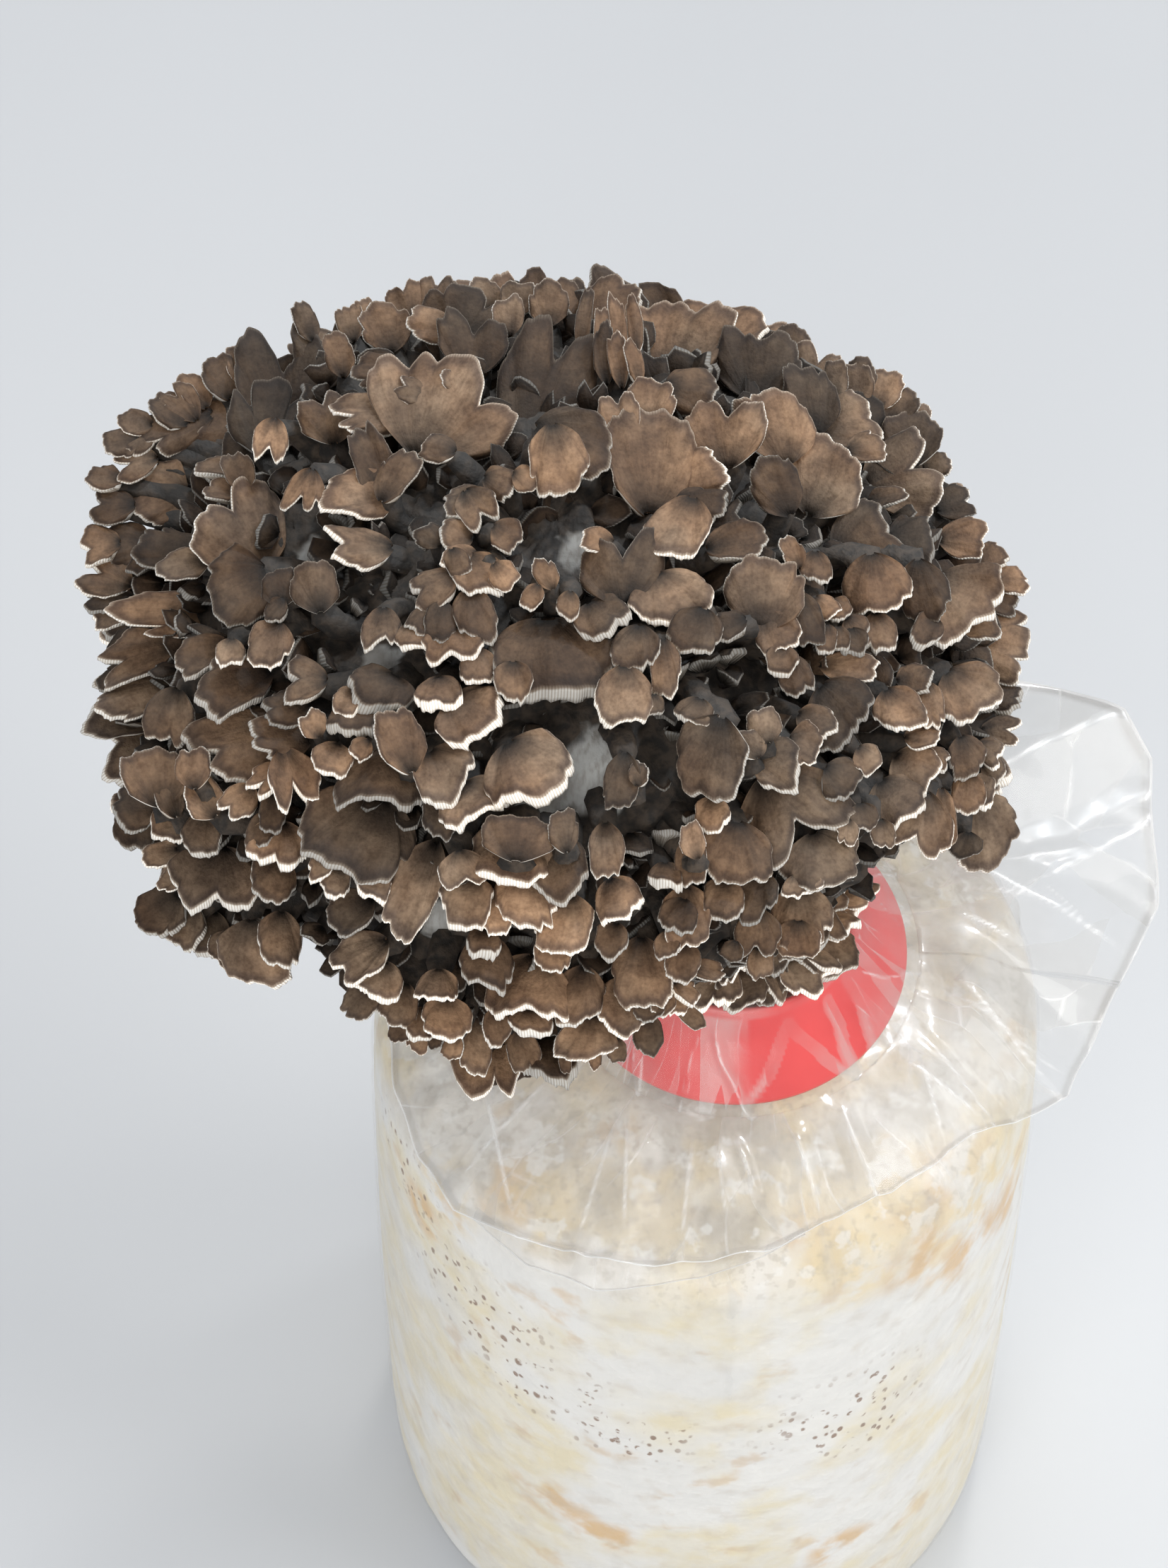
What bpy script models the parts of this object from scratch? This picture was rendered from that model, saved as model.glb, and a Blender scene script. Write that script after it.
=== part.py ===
"""Maitake grow kit: a bag of colonised substrate with a mushroom growing out of its collar.

Metres, +Z up, origin at the centre of the bag's underside. The front, where the head leans
towards the viewer, is -Y. Lengths below are in millimetres and angles in degrees until a mesh
is made. A bearing is measured round +Z from +X: 90 is the back, 180 the left, 270 the front.
"""
import math

import bmesh
import bpy
import numpy as np
from mathutils import Matrix, Vector

MM = 0.001

# The bag and the block inside it
FILM = 0.8
GAP = 0.4
BAG_SEGMENTS = 24
SHOULDER_Z = 205.0
COLLAR_X = 5.0
# Within the second radius from the axis the bag's top stands the whole COLLAR_X to the right,
# and beyond the first not at all.
NECK_SHIFT_RADII = (60.0, 36.0)

# The bag's film, centre of the wall: radius and height from the underside's centre to the neck.
BAG_WALL = (
    (0, 0.4), (57, 0.4), (65.8, 4.8), (69, 15.4), (69, 70), (68.6, 150), (67.5, 198), (64, 205),
    (54, 211), (38, 217.4), (24, 221.2),
)
# The same film inside the collar, over its lip and down its outside.
BAG_NECK = (
    (21, 224.5), (21.1, 240.2), (22.6, 241.4), (24.2, 240.4), (25, 236.2), (34.8, 223),
    (36.6, 220.8),
)
# The skirt's free edge: bearing, distance from the bag's axis, height.
SKIRT_EDGE = (
    (8, 91, 209), (20, 97, 214), (31, 100, 218), (43, 92, 221), (60, 80, 222), (80, 70, 220),
    (110, 65, 217), (150, 64, 214), (180, 65, 212), (202, 66.5, 209), (214, 69, 208),
    (225, 70.5, 208), (237, 69, 210), (254, 66.5, 210.5), (270, 63, 211), (280, 62, 211),
    (306, 60.5, 211), (332, 65, 208.5), (347, 73, 200), (358, 82, 203),
)
# Where the skirt's rings lie between the collar and the free edge, and how far each one arches up.
SKIRT_RINGS = ((0.3, 0.8), (0.65, 1.2), (1.0, 0.0))
# The radius that the skirt's first ring is turned at before it is moved into place.
SKIRT_MARK = 200.0

# The substrate, a little inside the film. Its side follows the bag's first wall points, and those
# below LIFTED_Z are lifted as well as set in. Its top has its own profile.
BLOCK_INSET = FILM / 2 + GAP + 0.5
BLOCK_WALL_POINTS = 6
LIFTED_Z = 5.0
BLOCK_TOP = (
    (66.1, 197.5), (62.8, 203.8), (53.2, 209.6), (37.4, 216), (22, 219), (0, 219.4),
)

# The collar's section, and the mushroom's stem through it.
COLLAR_SECTION = (
    (21.9, 240), (23.4, 240), (24.1, 235.8), (34, 222.5), (34, 221.3), (32.6, 221.3),
    (21.9, 235),
)
STEM_PROFILE = (
    (19.2, 219.8), (19.2, 240), (20.5, 246), (23.5, 252), (25, 259), (23, 267), (16, 273.5),
    (8, 276),
)
STEM_SEGMENTS = 14
STEM_LEAN = Vector((-17, 12, 0))
LEAN_FROM, LEAN_TO = 240.0, 262.0
FORK_CENTRE = Vector((-12, 12, 258))

# The head: the caps' margins lie on an ellipsoid.
HEAD_CENTRE = Vector((-30, 28.5, SHOULDER_Z + 75))
HEAD_RADII = Vector((88, 81.5, 66))

# The main branches and where each one points on the head: bearing, elevation.
BRANCHES = {
    "branch_crown": (300, 82),
    "branch_back": (95, 40),
    "branch_back_right": (36, 38),
    "branch_right": (358, 22),
    "branch_front_right": (330, 42),
    "branch_front_low_right": (300, 25),
    "branch_front": (268, 22),
    "branch_front_left": (242, 30),
    "branch_left": (208, 22),
    "branch_back_left": (160, 35),
}

# The caps in view, one each: bearing and elevation of the middle of the margin on the head, the
# heading and pitch that the cap grows at, its width and length in mm, its count of lobes.
CAPS = (
    # The crown
    (310, 87, 275, 15, 17, 17, 2), (30, 68, 35, 45, 27, 25, 1), (20, 69, 0, 30, 14, 14, 1),
    (340, 71, 310, 20, 14, 15, 1), (308, 75, 300, 25, 20, 15, 2), (200, 82, 245, 20, 11, 10, 2),
    (195, 78, 190, 25, 9, 12, 2), (215, 75, 240, 30, 9, 12, 2), (120, 86, 260, 30, 7, 12, 1),
    (216, 68, 225, 25, 12, 13, 1), (237, 73, 275, 25, 11, 11, 1), (230, 64, 260, 25, 20, 14, 3),
    (317, 67, 310, 30, 18, 14, 1), (294, 68, 300, 25, 13, 11, 1), (268, 65, 268, 30, 25, 14, 1),
    (350, 63, 0, 30, 15, 15, 1), (60, 64, 70, 50, 12, 14, 1), (66, 70, 75, 50, 12, 14, 1),
    # The back
    (92, 53, 90, 60, 18, 34, 1), (117, 47, 135, 55, 22, 32, 2), (107, 47, 105, 60, 13, 22, 1),
    (66, 27, 80, 60, 18, 34, 1), (80, 36, 85, 60, 8, 20, 1), (76, 42, 80, 60, 8, 20, 1),
    (98, 32, 98, 50, 12, 20, 2), (108, 25, 108, 50, 17, 20, 2), (118, 30, 118, 50, 18, 22, 2),
    (88, 30, 90, 50, 13, 20, 2), (127, 34, 125, 45, 16, 20, 1),
    # Back to the right
    (52, 34, 60, 55, 24, 26, 1), (45, 27, 50, 50, 15, 20, 2), (46, 60, 70, 45, 18, 18, 2),
    (40, 52, 80, 45, 18, 20, 1), (25, 49, 60, 40, 20, 18, 1), (10, 66, 215, 20, 12, 12, 1),
    (36, 41, 45, 50, 17, 18, 2), (45, 42, 60, 50, 14, 15, 1), (30, 25, 35, 45, 17, 20, 1),
    (22, 31, 10, 40, 24, 25, 1), (36, 20, 35, 40, 10, 14, 1), (30, 12, 28, 40, 17, 18, 1),
    (45, 17, 40, 45, 17, 18, 1), (26, 52, 300, 30, 10, 14, 1),
    # The right side
    (6, 45, 10, 25, 19, 16, 1), (351, 43, 345, 20, 17, 16, 1), (4, 39, 10, 25, 20, 17, 1),
    (354, 36, 345, 15, 16, 16, 1), (356, 28, 335, 15, 23, 16, 1), (5, 14, 0, 25, 16, 16, 1),
    (8, 11, 0, 15, 10, 12, 1), (12, 25, 0, 15, 13, 12, 1), (18, 23, 330, 20, 11, 12, 2),
    (0, 5, 0, 20, 26, 26, 1), (20, 15, 10, 30, 16, 17, 2), (352, 12, 340, 5, 16, 16, 1),
    (345, 31, 345, 10, 20, 15, 1), (345, 13, 350, 10, 16, 15, 2), (343, 6, 350, 10, 16, 16, 1),
    (339, 16, 320, 10, 14, 14, 1), (332, 1, 325, 15, 19, 20, 1),
    # Front to the right
    (343, 58, 350, 35, 18, 20, 1), (332, 53, 330, 25, 14, 13, 1), (330, 55, 300, 20, 12, 12, 1),
    (342, 53, 330, 15, 9, 9, 1), (337, 49, 300, 15, 10, 9, 1), (344, 47, 310, 15, 9, 9, 1),
    (322, 53, 290, 15, 11, 9, 1), (326, 48, 320, 20, 12, 13, 1), (323, 44, 300, 15, 14, 12, 1),
    (331, 40, 325, 20, 18, 17, 1), (337, 37, 305, 15, 14, 12, 1), (342, 38, 330, 15, 13, 11, 1),
    (331, 30, 320, 15, 13, 14, 1), (320, 27, 305, 10, 18, 14, 1), (320, 19, 300, 0, 15, 14, 2),
    (327, 16, 310, 0, 15, 14, 1), (305, 62, 235, 25, 14, 14, 1), (313, 33, 320, 15, 12, 12, 1),
    # Low front to the right
    (298, 43, 245, 20, 18, 18, 1), (311, 41, 325, 15, 15, 17, 1), (309, 48, 290, 15, 10, 11, 1),
    (317, 44, 320, 15, 10, 11, 1), (306, 30, 300, 15, 30, 22, 2), (296, 27, 265, 15, 18, 16, 1),
    (290, 30, 265, 15, 10, 17, 1), (292, 38, 230, 15, 9, 11, 1), (309, 23, 320, 5, 24, 16, 1),
    (296, 22, 265, 5, 13, 12, 1), (302, 21, 280, 5, 15, 13, 1), (306, 13, 290, 0, 17, 13, 1),
    (299, 12, 280, 0, 15, 13, 2), (288, 19, 290, 5, 15, 14, 2), (285, 31, 260, 30, 12, 14, 2),
    (283, 56, 290, 15, 12, 13, 1), (296, 58, 265, 20, 10, 13, 1), (288, 64, 265, 25, 12, 12, 1),
    (280, 44, 262, 20, 10, 14, 1), (277, 34, 240, 20, 9, 12, 1), (280, 27, 290, 10, 13, 10, 1),
    # The front
    (267, 33, 260, 15, 27, 19, 2), (272, 43, 250, 25, 8, 12, 1), (269, 47, 315, 15, 18, 15, 1),
    (260, 41, 310, 15, 14, 14, 1), (257, 26, 275, 10, 16, 14, 1), (265, 25, 235, 5, 15, 14, 1),
    (274, 22, 268, 5, 18, 14, 1), (261, 16, 250, 5, 16, 13, 1), (268, 19, 235, 5, 9, 11, 1),
    (264, 11, 275, 0, 22, 13, 1), (273, 11, 265, 0, 18, 13, 1), (279, 9, 275, 0, 20, 14, 2),
    (282, 12, 260, -10, 13, 20, 1), (275, 1, 270, -5, 16, 13, 1), (284, 4, 280, -10, 9, 14, 1),
    (256, 4, 270, -5, 12, 12, 1), (258, -4, 265, -15, 10, 14, 1), (263, -11, 265, -20, 17, 16, 1),
    (262, 5, 270, -5, 9, 10, 1), (267, -3, 275, -15, 10, 12, 1), (255, 13, 290, 5, 10, 10, 2),
    # Front to the left
    (238, 31, 235, 15, 25, 22, 1), (250, 22, 265, 10, 17, 20, 1), (247, 43, 262, 15, 26, 18, 1),
    (253, 51, 190, 50, 18, 14, 1), (236, 54, 225, 30, 12, 13, 1), (236, 49, 255, 20, 12, 10, 1),
    (233, 43, 240, 20, 11, 10, 1), (252, 38, 265, 15, 9, 12, 1), (232, 31, 260, 5, 12, 16, 2),
    (227, 28, 255, 5, 10, 16, 2), (233, 21, 240, 5, 16, 13, 2), (223, 27, 225, 5, 10, 12, 1),
    (241, 19, 240, 10, 14, 13, 1), (244, 10, 240, 0, 18, 15, 1), (247, 9, 275, 0, 12, 11, 1),
    (245, 2, 235, -5, 12, 13, 1), (249, 4, 285, -5, 11, 12, 1), (252, -3, 270, -15, 9, 11, 1),
    (230, -7, 255, -10, 19, 18, 1), (235, 3, 260, -10, 13, 16, 2),
    # The left side
    (209, 36, 235, 15, 20, 17, 1), (217, 29, 240, 10, 21, 20, 1), (218, 38, 225, 15, 16, 15, 1),
    (215, 47, 215, 25, 12, 13, 1), (197, 33, 235, 20, 13, 13, 1), (203, 20, 230, 10, 15, 15, 1),
    (197, 12, 200, 5, 14, 15, 1), (203, -2, 200, 5, 18, 20, 1), (209, -3, 215, 0, 16, 16, 1),
    (213, 15, 225, 5, 17, 15, 1), (217, 6, 235, 0, 15, 15, 1), (218, -1, 240, -5, 16, 15, 1),
    (222, 2, 245, -5, 13, 13, 1), (226, 5, 260, -5, 13, 13, 1), (214, -12, 225, -10, 17, 18, 1),
    (220, -10, 215, -10, 16, 15, 2), (205, 50, 215, 25, 11, 12, 2), (188, 22, 205, 10, 24, 20, 3),
    (191, 11, 190, 5, 16, 16, 1),
    # Back to the left
    (166, 45, 140, 35, 18, 18, 2), (190, 43, 215, 30, 16, 17, 1), (172, 62, 195, 25, 14, 15, 1),
    (153, 64, 130, 40, 11, 13, 1), (194, 61, 210, 25, 14, 15, 1), (209, 63, 225, 25, 13, 14, 1),
    (143, 38, 120, 50, 17, 18, 1), (131, 14, 115, 50, 18, 24, 1), (146, 24, 140, 50, 18, 20, 1),
    (158, 43, 220, 20, 9, 13, 1), (137, 46, 130, 45, 16, 18, 2), (142, 57, 135, 45, 16, 18, 2),
    (160, 14, 190, 25, 16, 18, 1), (168, 8, 170, 25, 16, 16, 1), (156, 8, 145, 35, 16, 18, 2),
    (150, 12, 140, 35, 17, 18, 2), (168, 27, 170, 25, 16, 17, 1), (177, 14, 185, 15, 12, 14, 2),
    (179, 2, 180, 10, 17, 16, 2),
)
# Caps of the back and the underside, in rows: elevation, first and last bearing, step, pitch,
# width, length.
ROWS = (
    (17, 72, 128, 18, 45, 21, 24),
    (1, 22, 172, 19, 35, 23, 24),
    (-15, -20, 198, 24, 20, 25, 24),
    (-30, -30, 325, 30, 5, 26, 24),
)
ROW_SEED = 5

# A cap's outline, from its narrow base to its round margin, and its section.
OUTLINE_ANGLES = (118, 62, 0, -62, -118)
OUTLINE_CENTRE = 0.52
LOBE_NOTCH = 0.16
CAP_BEND = 0.16
RIM_THICKNESS, BASE_THICKNESS = 2.6, 4.6
NECK_WIDTH = 6.0
LEAST_SOLID_WIDTH = 15
FORK_REACH = 0.5
STALK_WIDTH = 8.0
STALK_FROM = 0.85
LIMB_BASE, LIMB_TIP = 17.0, 18.0
LIMB_SIDES = 7
LIMB_OVERLAP = 1.15
BRANCH_GAP = 0.4
CELL_SIZE = 400.0


def principled(name, colour, roughness, alpha=1.0):
    """A plain material of one colour."""
    material = bpy.data.materials.new(name)
    material.use_nodes = True
    shader = material.node_tree.nodes["Principled BSDF"]
    shader.inputs["Base Color"].default_value = (*colour, 1)
    shader.inputs["Roughness"].default_value = roughness
    shader.inputs["Metallic"].default_value = 0.0
    shader.inputs["Alpha"].default_value = alpha
    return material


def add_object(name, mesh, collection, material=None):
    """An object of this mesh in the collection. A helper has no material and isn't rendered."""
    obj = bpy.data.objects.new(name, mesh)
    collection.objects.link(obj)
    if material:
        mesh.materials.append(material)
    else:
        obj.hide_render = True
        obj.display_type = "WIRE"
    return obj


def as_mesh(name, bm):
    """The bmesh, made in millimetres, as a mesh in metres with its faces pointing out."""
    bmesh.ops.recalc_face_normals(bm, faces=bm.faces)
    bmesh.ops.scale(bm, vec=(MM, MM, MM), verts=bm.verts)
    mesh = bpy.data.meshes.new(name)
    bm.to_mesh(mesh)
    bm.free()
    return mesh


def turned(points, segments, closed=False):
    """A bmesh, in mm, of the profile turned once round the Z axis."""
    bm = bmesh.new()
    verts = [bm.verts.new((radius, 0, height)) for radius, height in points]
    pairs = list(zip(verts, verts[1:] + verts[:1]))
    edges = [bm.edges.new(pair) for pair in (pairs if closed else pairs[:-1])]
    bmesh.ops.spin(
        bm, geom=verts + edges, cent=(0, 0, 0), axis=(0, 0, 1), angle=math.tau,
        steps=segments, use_merge=True,
    )
    bmesh.ops.remove_doubles(bm, verts=bm.verts, dist=0.01)
    return bm


def smooth(x):
    """Goes from 0 to 1 as x does, level at both ends."""
    x = min(max(x, 0.0), 1.0)
    return x * x * (3 - 2 * x)


def neck_shift(point):
    """The neck and the collar stand a little to the right of the bag's axis."""
    radius = math.hypot(point.x, point.y)
    outer, inner = NECK_SHIFT_RADII
    return COLLAR_X * smooth((outer - radius) / (outer - inner)) if point.z > SHOULDER_Z else 0.0


def skirt_edge(bearing):
    """The free edge's radius and height at a bearing, smooth between the stated places."""
    places = SKIRT_EDGE + ((SKIRT_EDGE[0][0] + 360, *SKIRT_EDGE[0][1:]),)
    bearing = (bearing - places[0][0]) % 360 + places[0][0]
    for (a, r1, z1), (b, r2, z2) in zip(places, places[1:]):
        if bearing <= b:
            part = smooth((bearing - a) / (b - a))
            return r1 + (r2 - r1) * part, z1 + (z2 - z1) * part
    return places[0][1:]


def bag_mesh():
    """The film from the underside's centre to the skirt's edge, as one open surface."""
    profile = BAG_WALL + BAG_NECK
    collar_radius, collar_height = BAG_NECK[-1]
    # The skirt's rings are turned as flat steps below the others' reach, then moved into place.
    marks = [SKIRT_MARK + step for step in range(len(SKIRT_RINGS))]
    bm = turned(profile + tuple((mark, collar_height) for mark in marks), BAG_SEGMENTS)
    for vert in bm.verts:
        point = vert.co
        radius = math.hypot(point.x, point.y)
        if radius > marks[0] - 1:
            share, arch = SKIRT_RINGS[round(radius - marks[0])]
            bearing = math.atan2(point.y, point.x)
            edge_radius, edge_height = skirt_edge(math.degrees(bearing))
            start = Vector((
                collar_radius * math.cos(bearing) + COLLAR_X, collar_radius * math.sin(bearing),
                collar_height,
            ))
            end = Vector((
                edge_radius * math.cos(bearing), edge_radius * math.sin(bearing), edge_height,
            ))
            vert.co = start.lerp(end, share) + Vector((0, 0, arch))
        else:
            vert.co.x += neck_shift(point)
    return as_mesh("grow_bag", bm)


def block_mesh():
    """The substrate: the bag's own form, set in from the film, closed over the top."""
    inside = [
        (max(radius - BLOCK_INSET, 0), height + (BLOCK_INSET if height < LIFTED_Z else 0))
        for radius, height in BAG_WALL[:BLOCK_WALL_POINTS]
    ]
    bm = turned(tuple(inside) + BLOCK_TOP, BAG_SEGMENTS)
    for vert in bm.verts:
        vert.co.x += neck_shift(vert.co)
    return as_mesh("substrate_block", bm)


def collar_mesh():
    bm = turned(COLLAR_SECTION, BAG_SEGMENTS, closed=True)
    bmesh.ops.translate(bm, vec=(COLLAR_X, 0, 0), verts=bm.verts)
    return as_mesh("neck_collar", bm)


def stem_mesh(name, grow):
    """The stem, which leans back and to the left above the collar; grow makes it a cutter."""
    rings = [(radius + grow, height) for radius, height in STEM_PROFILE]
    low, high = rings[0][1] - grow, rings[-1][1] + grow
    bm = turned(((0, low), (rings[0][0], low), *rings[1:], (0, high)), STEM_SEGMENTS)
    for vert in bm.verts:
        lean = smooth((vert.co.z - LEAN_FROM) / (LEAN_TO - LEAN_FROM))
        vert.co += Vector((COLLAR_X, 0, 0)) + STEM_LEAN * lean
    return as_mesh(name, bm)


def head_point(bearing, elevation):
    """The point of the head's ellipsoid at these two angles."""
    b, e = math.radians(bearing), math.radians(elevation)
    ray = Vector((math.cos(e) * math.cos(b), math.cos(e) * math.sin(b), math.sin(e)))
    return HEAD_CENTRE + ray * HEAD_RADII


def row_caps():
    """The caps of the back and the underside, with small seeded differences."""
    draw = np.random.default_rng(ROW_SEED)
    caps = []
    for elevation, first, last, step, pitch, width, length in ROWS:
        for bearing in range(first, last + 1, step):
            turn, tip, size = draw.uniform(-1, 1, 3).tolist()
            caps.append((
                bearing + 3 * turn, elevation + 4 * tip, bearing + 12 * size, pitch + 8 * turn,
                width * (1 + 0.15 * size), length * (1 + 0.1 * tip), 1 + int(tip > 0),
            ))
    return caps


def cap_axes(heading, pitch):
    """Growth direction, top normal and width direction of a cap."""
    h, p = math.radians(heading), math.radians(pitch)
    growth = Vector((math.cos(p) * math.cos(h), math.cos(p) * math.sin(h), math.sin(p)))
    normal = Vector((-math.sin(p) * math.cos(h), -math.sin(p) * math.sin(h), math.cos(p)))
    return growth, normal, growth.cross(normal)


def cap_outline(width, length, lobes):
    """The flat outline: neck, round margin, and a notch in the middle of a lobed one."""
    points = [(-NECK_WIDTH / 2, 0.0)]
    for angle in OUTLINE_ANGLES[::-1]:
        t = math.radians(angle)
        reach = 1 - LOBE_NOTCH if lobes == 2 and angle == 0 else 1
        across = width / 2 * math.sin(t)
        along = length * (OUTLINE_CENTRE + (1 - OUTLINE_CENTRE) * math.cos(t)) * reach
        points.append((across, along))
    return points + [(NECK_WIDTH / 2, 0.0)]


def add_cap(bm, cap, fork):
    """One cap with its stalk down to the fork, as a closed low solid."""
    bearing, elevation, heading, pitch, width, length, lobes = cap
    growth, normal, side = cap_axes(heading, pitch)
    base = head_point(bearing, elevation) - length * growth + CAP_BEND * length * normal

    def place(across, along, depth):
        bend = CAP_BEND * (across ** 2 + along ** 2) / length
        return base + across * side + along * growth - (bend + depth) * normal

    def thickness(along):
        return BASE_THICKNESS + (RIM_THICKNESS - BASE_THICKNESS) * min(along / length / 0.6, 1)

    outline = cap_outline(width, length, lobes)
    top = [bm.verts.new(place(x, y, 0)) for x, y in outline]
    low = [bm.verts.new(place(x, y, thickness(y))) for x, y in outline]
    middle = OUTLINE_CENTRE * length
    crest = bm.verts.new(place(0, middle, -0.5))
    hollow = bm.verts.new(place(0, middle, thickness(middle)))
    for i in range(len(outline) - 1):
        bm.faces.new((top[i], top[i + 1], crest))
        bm.faces.new((low[i + 1], low[i], hollow))
        bm.faces.new((top[i + 1], top[i], low[i], low[i + 1]))
    bm.faces.new((top[-1], top[0], crest))
    bm.faces.new((low[0], low[-1], hollow))
    # The stalk narrows from the fork to the neck of the cap.
    half = STALK_WIDTH / 2
    foot = [
        bm.verts.new(fork + half * (x * side + y * normal))
        for x, y in ((-1, 1), (1, 1), (1, -1), (-1, -1))
    ]
    neck = (top[0], top[-1], low[-1], low[0])
    for i in range(4):
        j = (i + 1) % 4
        bm.faces.new((neck[i], neck[j], foot[j], foot[i]))
    bm.faces.new(foot)


def limb_mesh(name, fork):
    """The branch's own limb, from the stem's fork to the branch's."""
    bm = bmesh.new()
    along = fork - FORK_CENTRE
    turn = along.to_track_quat("Z", "Y").to_matrix().to_4x4()
    middle = Matrix.Translation(FORK_CENTRE.lerp(fork, 0.5))
    bmesh.ops.create_cone(
        bm, cap_ends=True, segments=LIMB_SIDES, radius1=LIMB_BASE, radius2=LIMB_TIP,
        depth=along.length * LIMB_OVERLAP, matrix=middle @ turn,
    )
    return as_mesh(name, bm)


def cell_mesh(name, axis, others):
    """The convex cell of one branch: the space nearer its axis than any other's."""
    bm = bmesh.new()
    bmesh.ops.create_cube(bm, size=CELL_SIZE, matrix=Matrix.Translation(FORK_CENTRE))
    for other in others:
        away = (other - axis).normalized()
        cut = bmesh.ops.bisect_plane(
            bm, geom=bm.verts[:] + bm.edges[:] + bm.faces[:], dist=0.0001,
            plane_co=FORK_CENTRE - away * BRANCH_GAP / 2, plane_no=away, clear_outer=True,
        )
        edges = [item for item in cut["geom_cut"] if isinstance(item, bmesh.types.BMEdge)]
        if edges:
            bmesh.ops.edgeloop_fill(bm, edges=edges)
    return as_mesh(name, bm)


def boolean(obj, operation, other):
    modifier = obj.modifiers.new(operation.lower(), "BOOLEAN")
    modifier.operation = operation
    modifier.solver = "EXACT"
    modifier.use_self = operation == "UNION"
    modifier.object = other


def keep_main_body(mesh):
    """Drops the crumbs that a cell's walls cut off a cap's edge, and any closed pocket inside."""
    bm = bmesh.new()
    bm.from_mesh(mesh)
    left = set(bm.faces)
    bodies = []
    while left:
        found = [left.pop()]
        for face in found:
            # Two bodies that only touch share an edge with four faces.
            joins = [edge for edge in face.edges if len(edge.link_faces) == 2]
            near = {other for edge in joins for other in edge.link_faces} & left
            left -= near
            found.extend(near)
        bodies.append(found)
    bodies.sort(key=len)
    for crumb in bodies[:-1]:
        bmesh.ops.delete(bm, geom=crumb, context="FACES")
    bm.to_mesh(mesh)
    bm.free()


def build_branches(parts, cutters, material):
    """Each branch: its limb and its caps in one solid, cut to its cell and round the stem."""
    forks = {
        name: FORK_CENTRE.lerp(head_point(*angles), FORK_REACH)
        for name, angles in BRANCHES.items()
    }
    axes = {name: (fork - FORK_CENTRE).normalized() for name, fork in forks.items()}
    owned = {name: [] for name in BRANCHES}
    for cap in (*CAPS, *row_caps()):
        if cap[4] < LEAST_SOLID_WIDTH:
            continue
        towards = (head_point(cap[0], cap[1]) - FORK_CENTRE).normalized()
        owner = max(axes, key=lambda name: axes[name].dot(towards))
        owned[owner].append(cap)
    core = add_object("stem_clearance", stem_mesh("stem_clearance", BRANCH_GAP), cutters)
    for name, fork in forks.items():
        others = [axis for other, axis in axes.items() if other != name]
        cell = add_object(f"{name}_cell", cell_mesh(f"{name}_cell", axes[name], others), cutters)
        bm = bmesh.new()
        for cap in owned[name]:
            add_cap(bm, cap, FORK_CENTRE.lerp(fork, STALK_FROM))
        caps = add_object(f"{name}_caps", as_mesh(f"{name}_caps", bm), cutters)
        rough = add_object(f"{name}_rough", limb_mesh(f"{name}_rough", fork), cutters)
        boolean(rough, "UNION", caps)
        boolean(rough, "INTERSECT", cell)
        boolean(rough, "DIFFERENCE", core)
        bpy.context.view_layer.update()
        graph = bpy.context.evaluated_depsgraph_get()
        mesh = bpy.data.meshes.new_from_object(rough.evaluated_get(graph))
        mesh.name = name
        keep_main_body(mesh)
        mesh.materials.clear()
        add_object(name, mesh, parts, material)


def build_bag(parts, material):
    bag = add_object("grow_bag", bag_mesh(), parts, material)
    wall = bag.modifiers.new("film", "SOLIDIFY")
    wall.thickness = FILM * MM
    wall.offset = 0
    wall.use_even_offset = True


def main():
    for obj in list(bpy.data.objects):
        bpy.data.objects.remove(obj)
    parts = bpy.data.collections.new("maitake_grow_kit")
    cutters = bpy.data.collections.new("cutters")
    for collection in (parts, cutters):
        bpy.context.scene.collection.children.link(collection)
    cap_brown = principled("cap", (0.15, 0.10, 0.065), 0.8)
    stem_white = principled("stem", (0.55, 0.50, 0.42), 0.8)
    build_bag(parts, principled("film", (0.85, 0.84, 0.80), 0.2, 0.35))
    add_object("substrate_block", block_mesh(), parts, principled("block", (0.75, 0.70, 0.58), 0.8))
    add_object("neck_collar", collar_mesh(), parts, principled("collar", (0.80, 0.13, 0.11), 0.4))
    add_object("mushroom_stem", stem_mesh("mushroom_stem", 0), parts, stem_white)
    build_branches(parts, cutters, cap_brown)


main()
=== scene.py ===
import math

import bpy
import numpy as np
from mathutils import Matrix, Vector


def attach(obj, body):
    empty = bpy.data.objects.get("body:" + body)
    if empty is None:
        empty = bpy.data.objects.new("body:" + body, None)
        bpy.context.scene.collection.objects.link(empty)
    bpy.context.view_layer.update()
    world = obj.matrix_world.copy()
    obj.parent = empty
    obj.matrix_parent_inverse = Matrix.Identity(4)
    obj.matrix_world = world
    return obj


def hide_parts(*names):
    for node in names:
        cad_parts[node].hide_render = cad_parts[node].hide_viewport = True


# A maitake grow kit: a filled clear bag, a coral collar round its neck, the bag's loose skirt and
# the mushroom. Shapes are worked out in millimetres and put into the meshes in metres.
# A bearing is measured round +Z from +X, so 270 is the front.
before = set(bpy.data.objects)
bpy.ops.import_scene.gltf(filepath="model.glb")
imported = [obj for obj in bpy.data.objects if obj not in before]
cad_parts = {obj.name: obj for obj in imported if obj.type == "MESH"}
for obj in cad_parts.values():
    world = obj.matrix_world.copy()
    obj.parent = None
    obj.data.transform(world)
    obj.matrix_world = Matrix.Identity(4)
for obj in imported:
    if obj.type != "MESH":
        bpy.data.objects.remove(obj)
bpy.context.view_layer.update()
mm = 0.001
deg = math.pi / 180


def smoothStep(x):
    # 3x^2 - 2x^3 between 0 and 1
    x = np.clip(x, 0, 1)
    return x * x * (3 - 2 * x)


def unit(v):
    return v / np.maximum(np.linalg.norm(v, axis=-1, keepdims=True), 1e-9)


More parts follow.
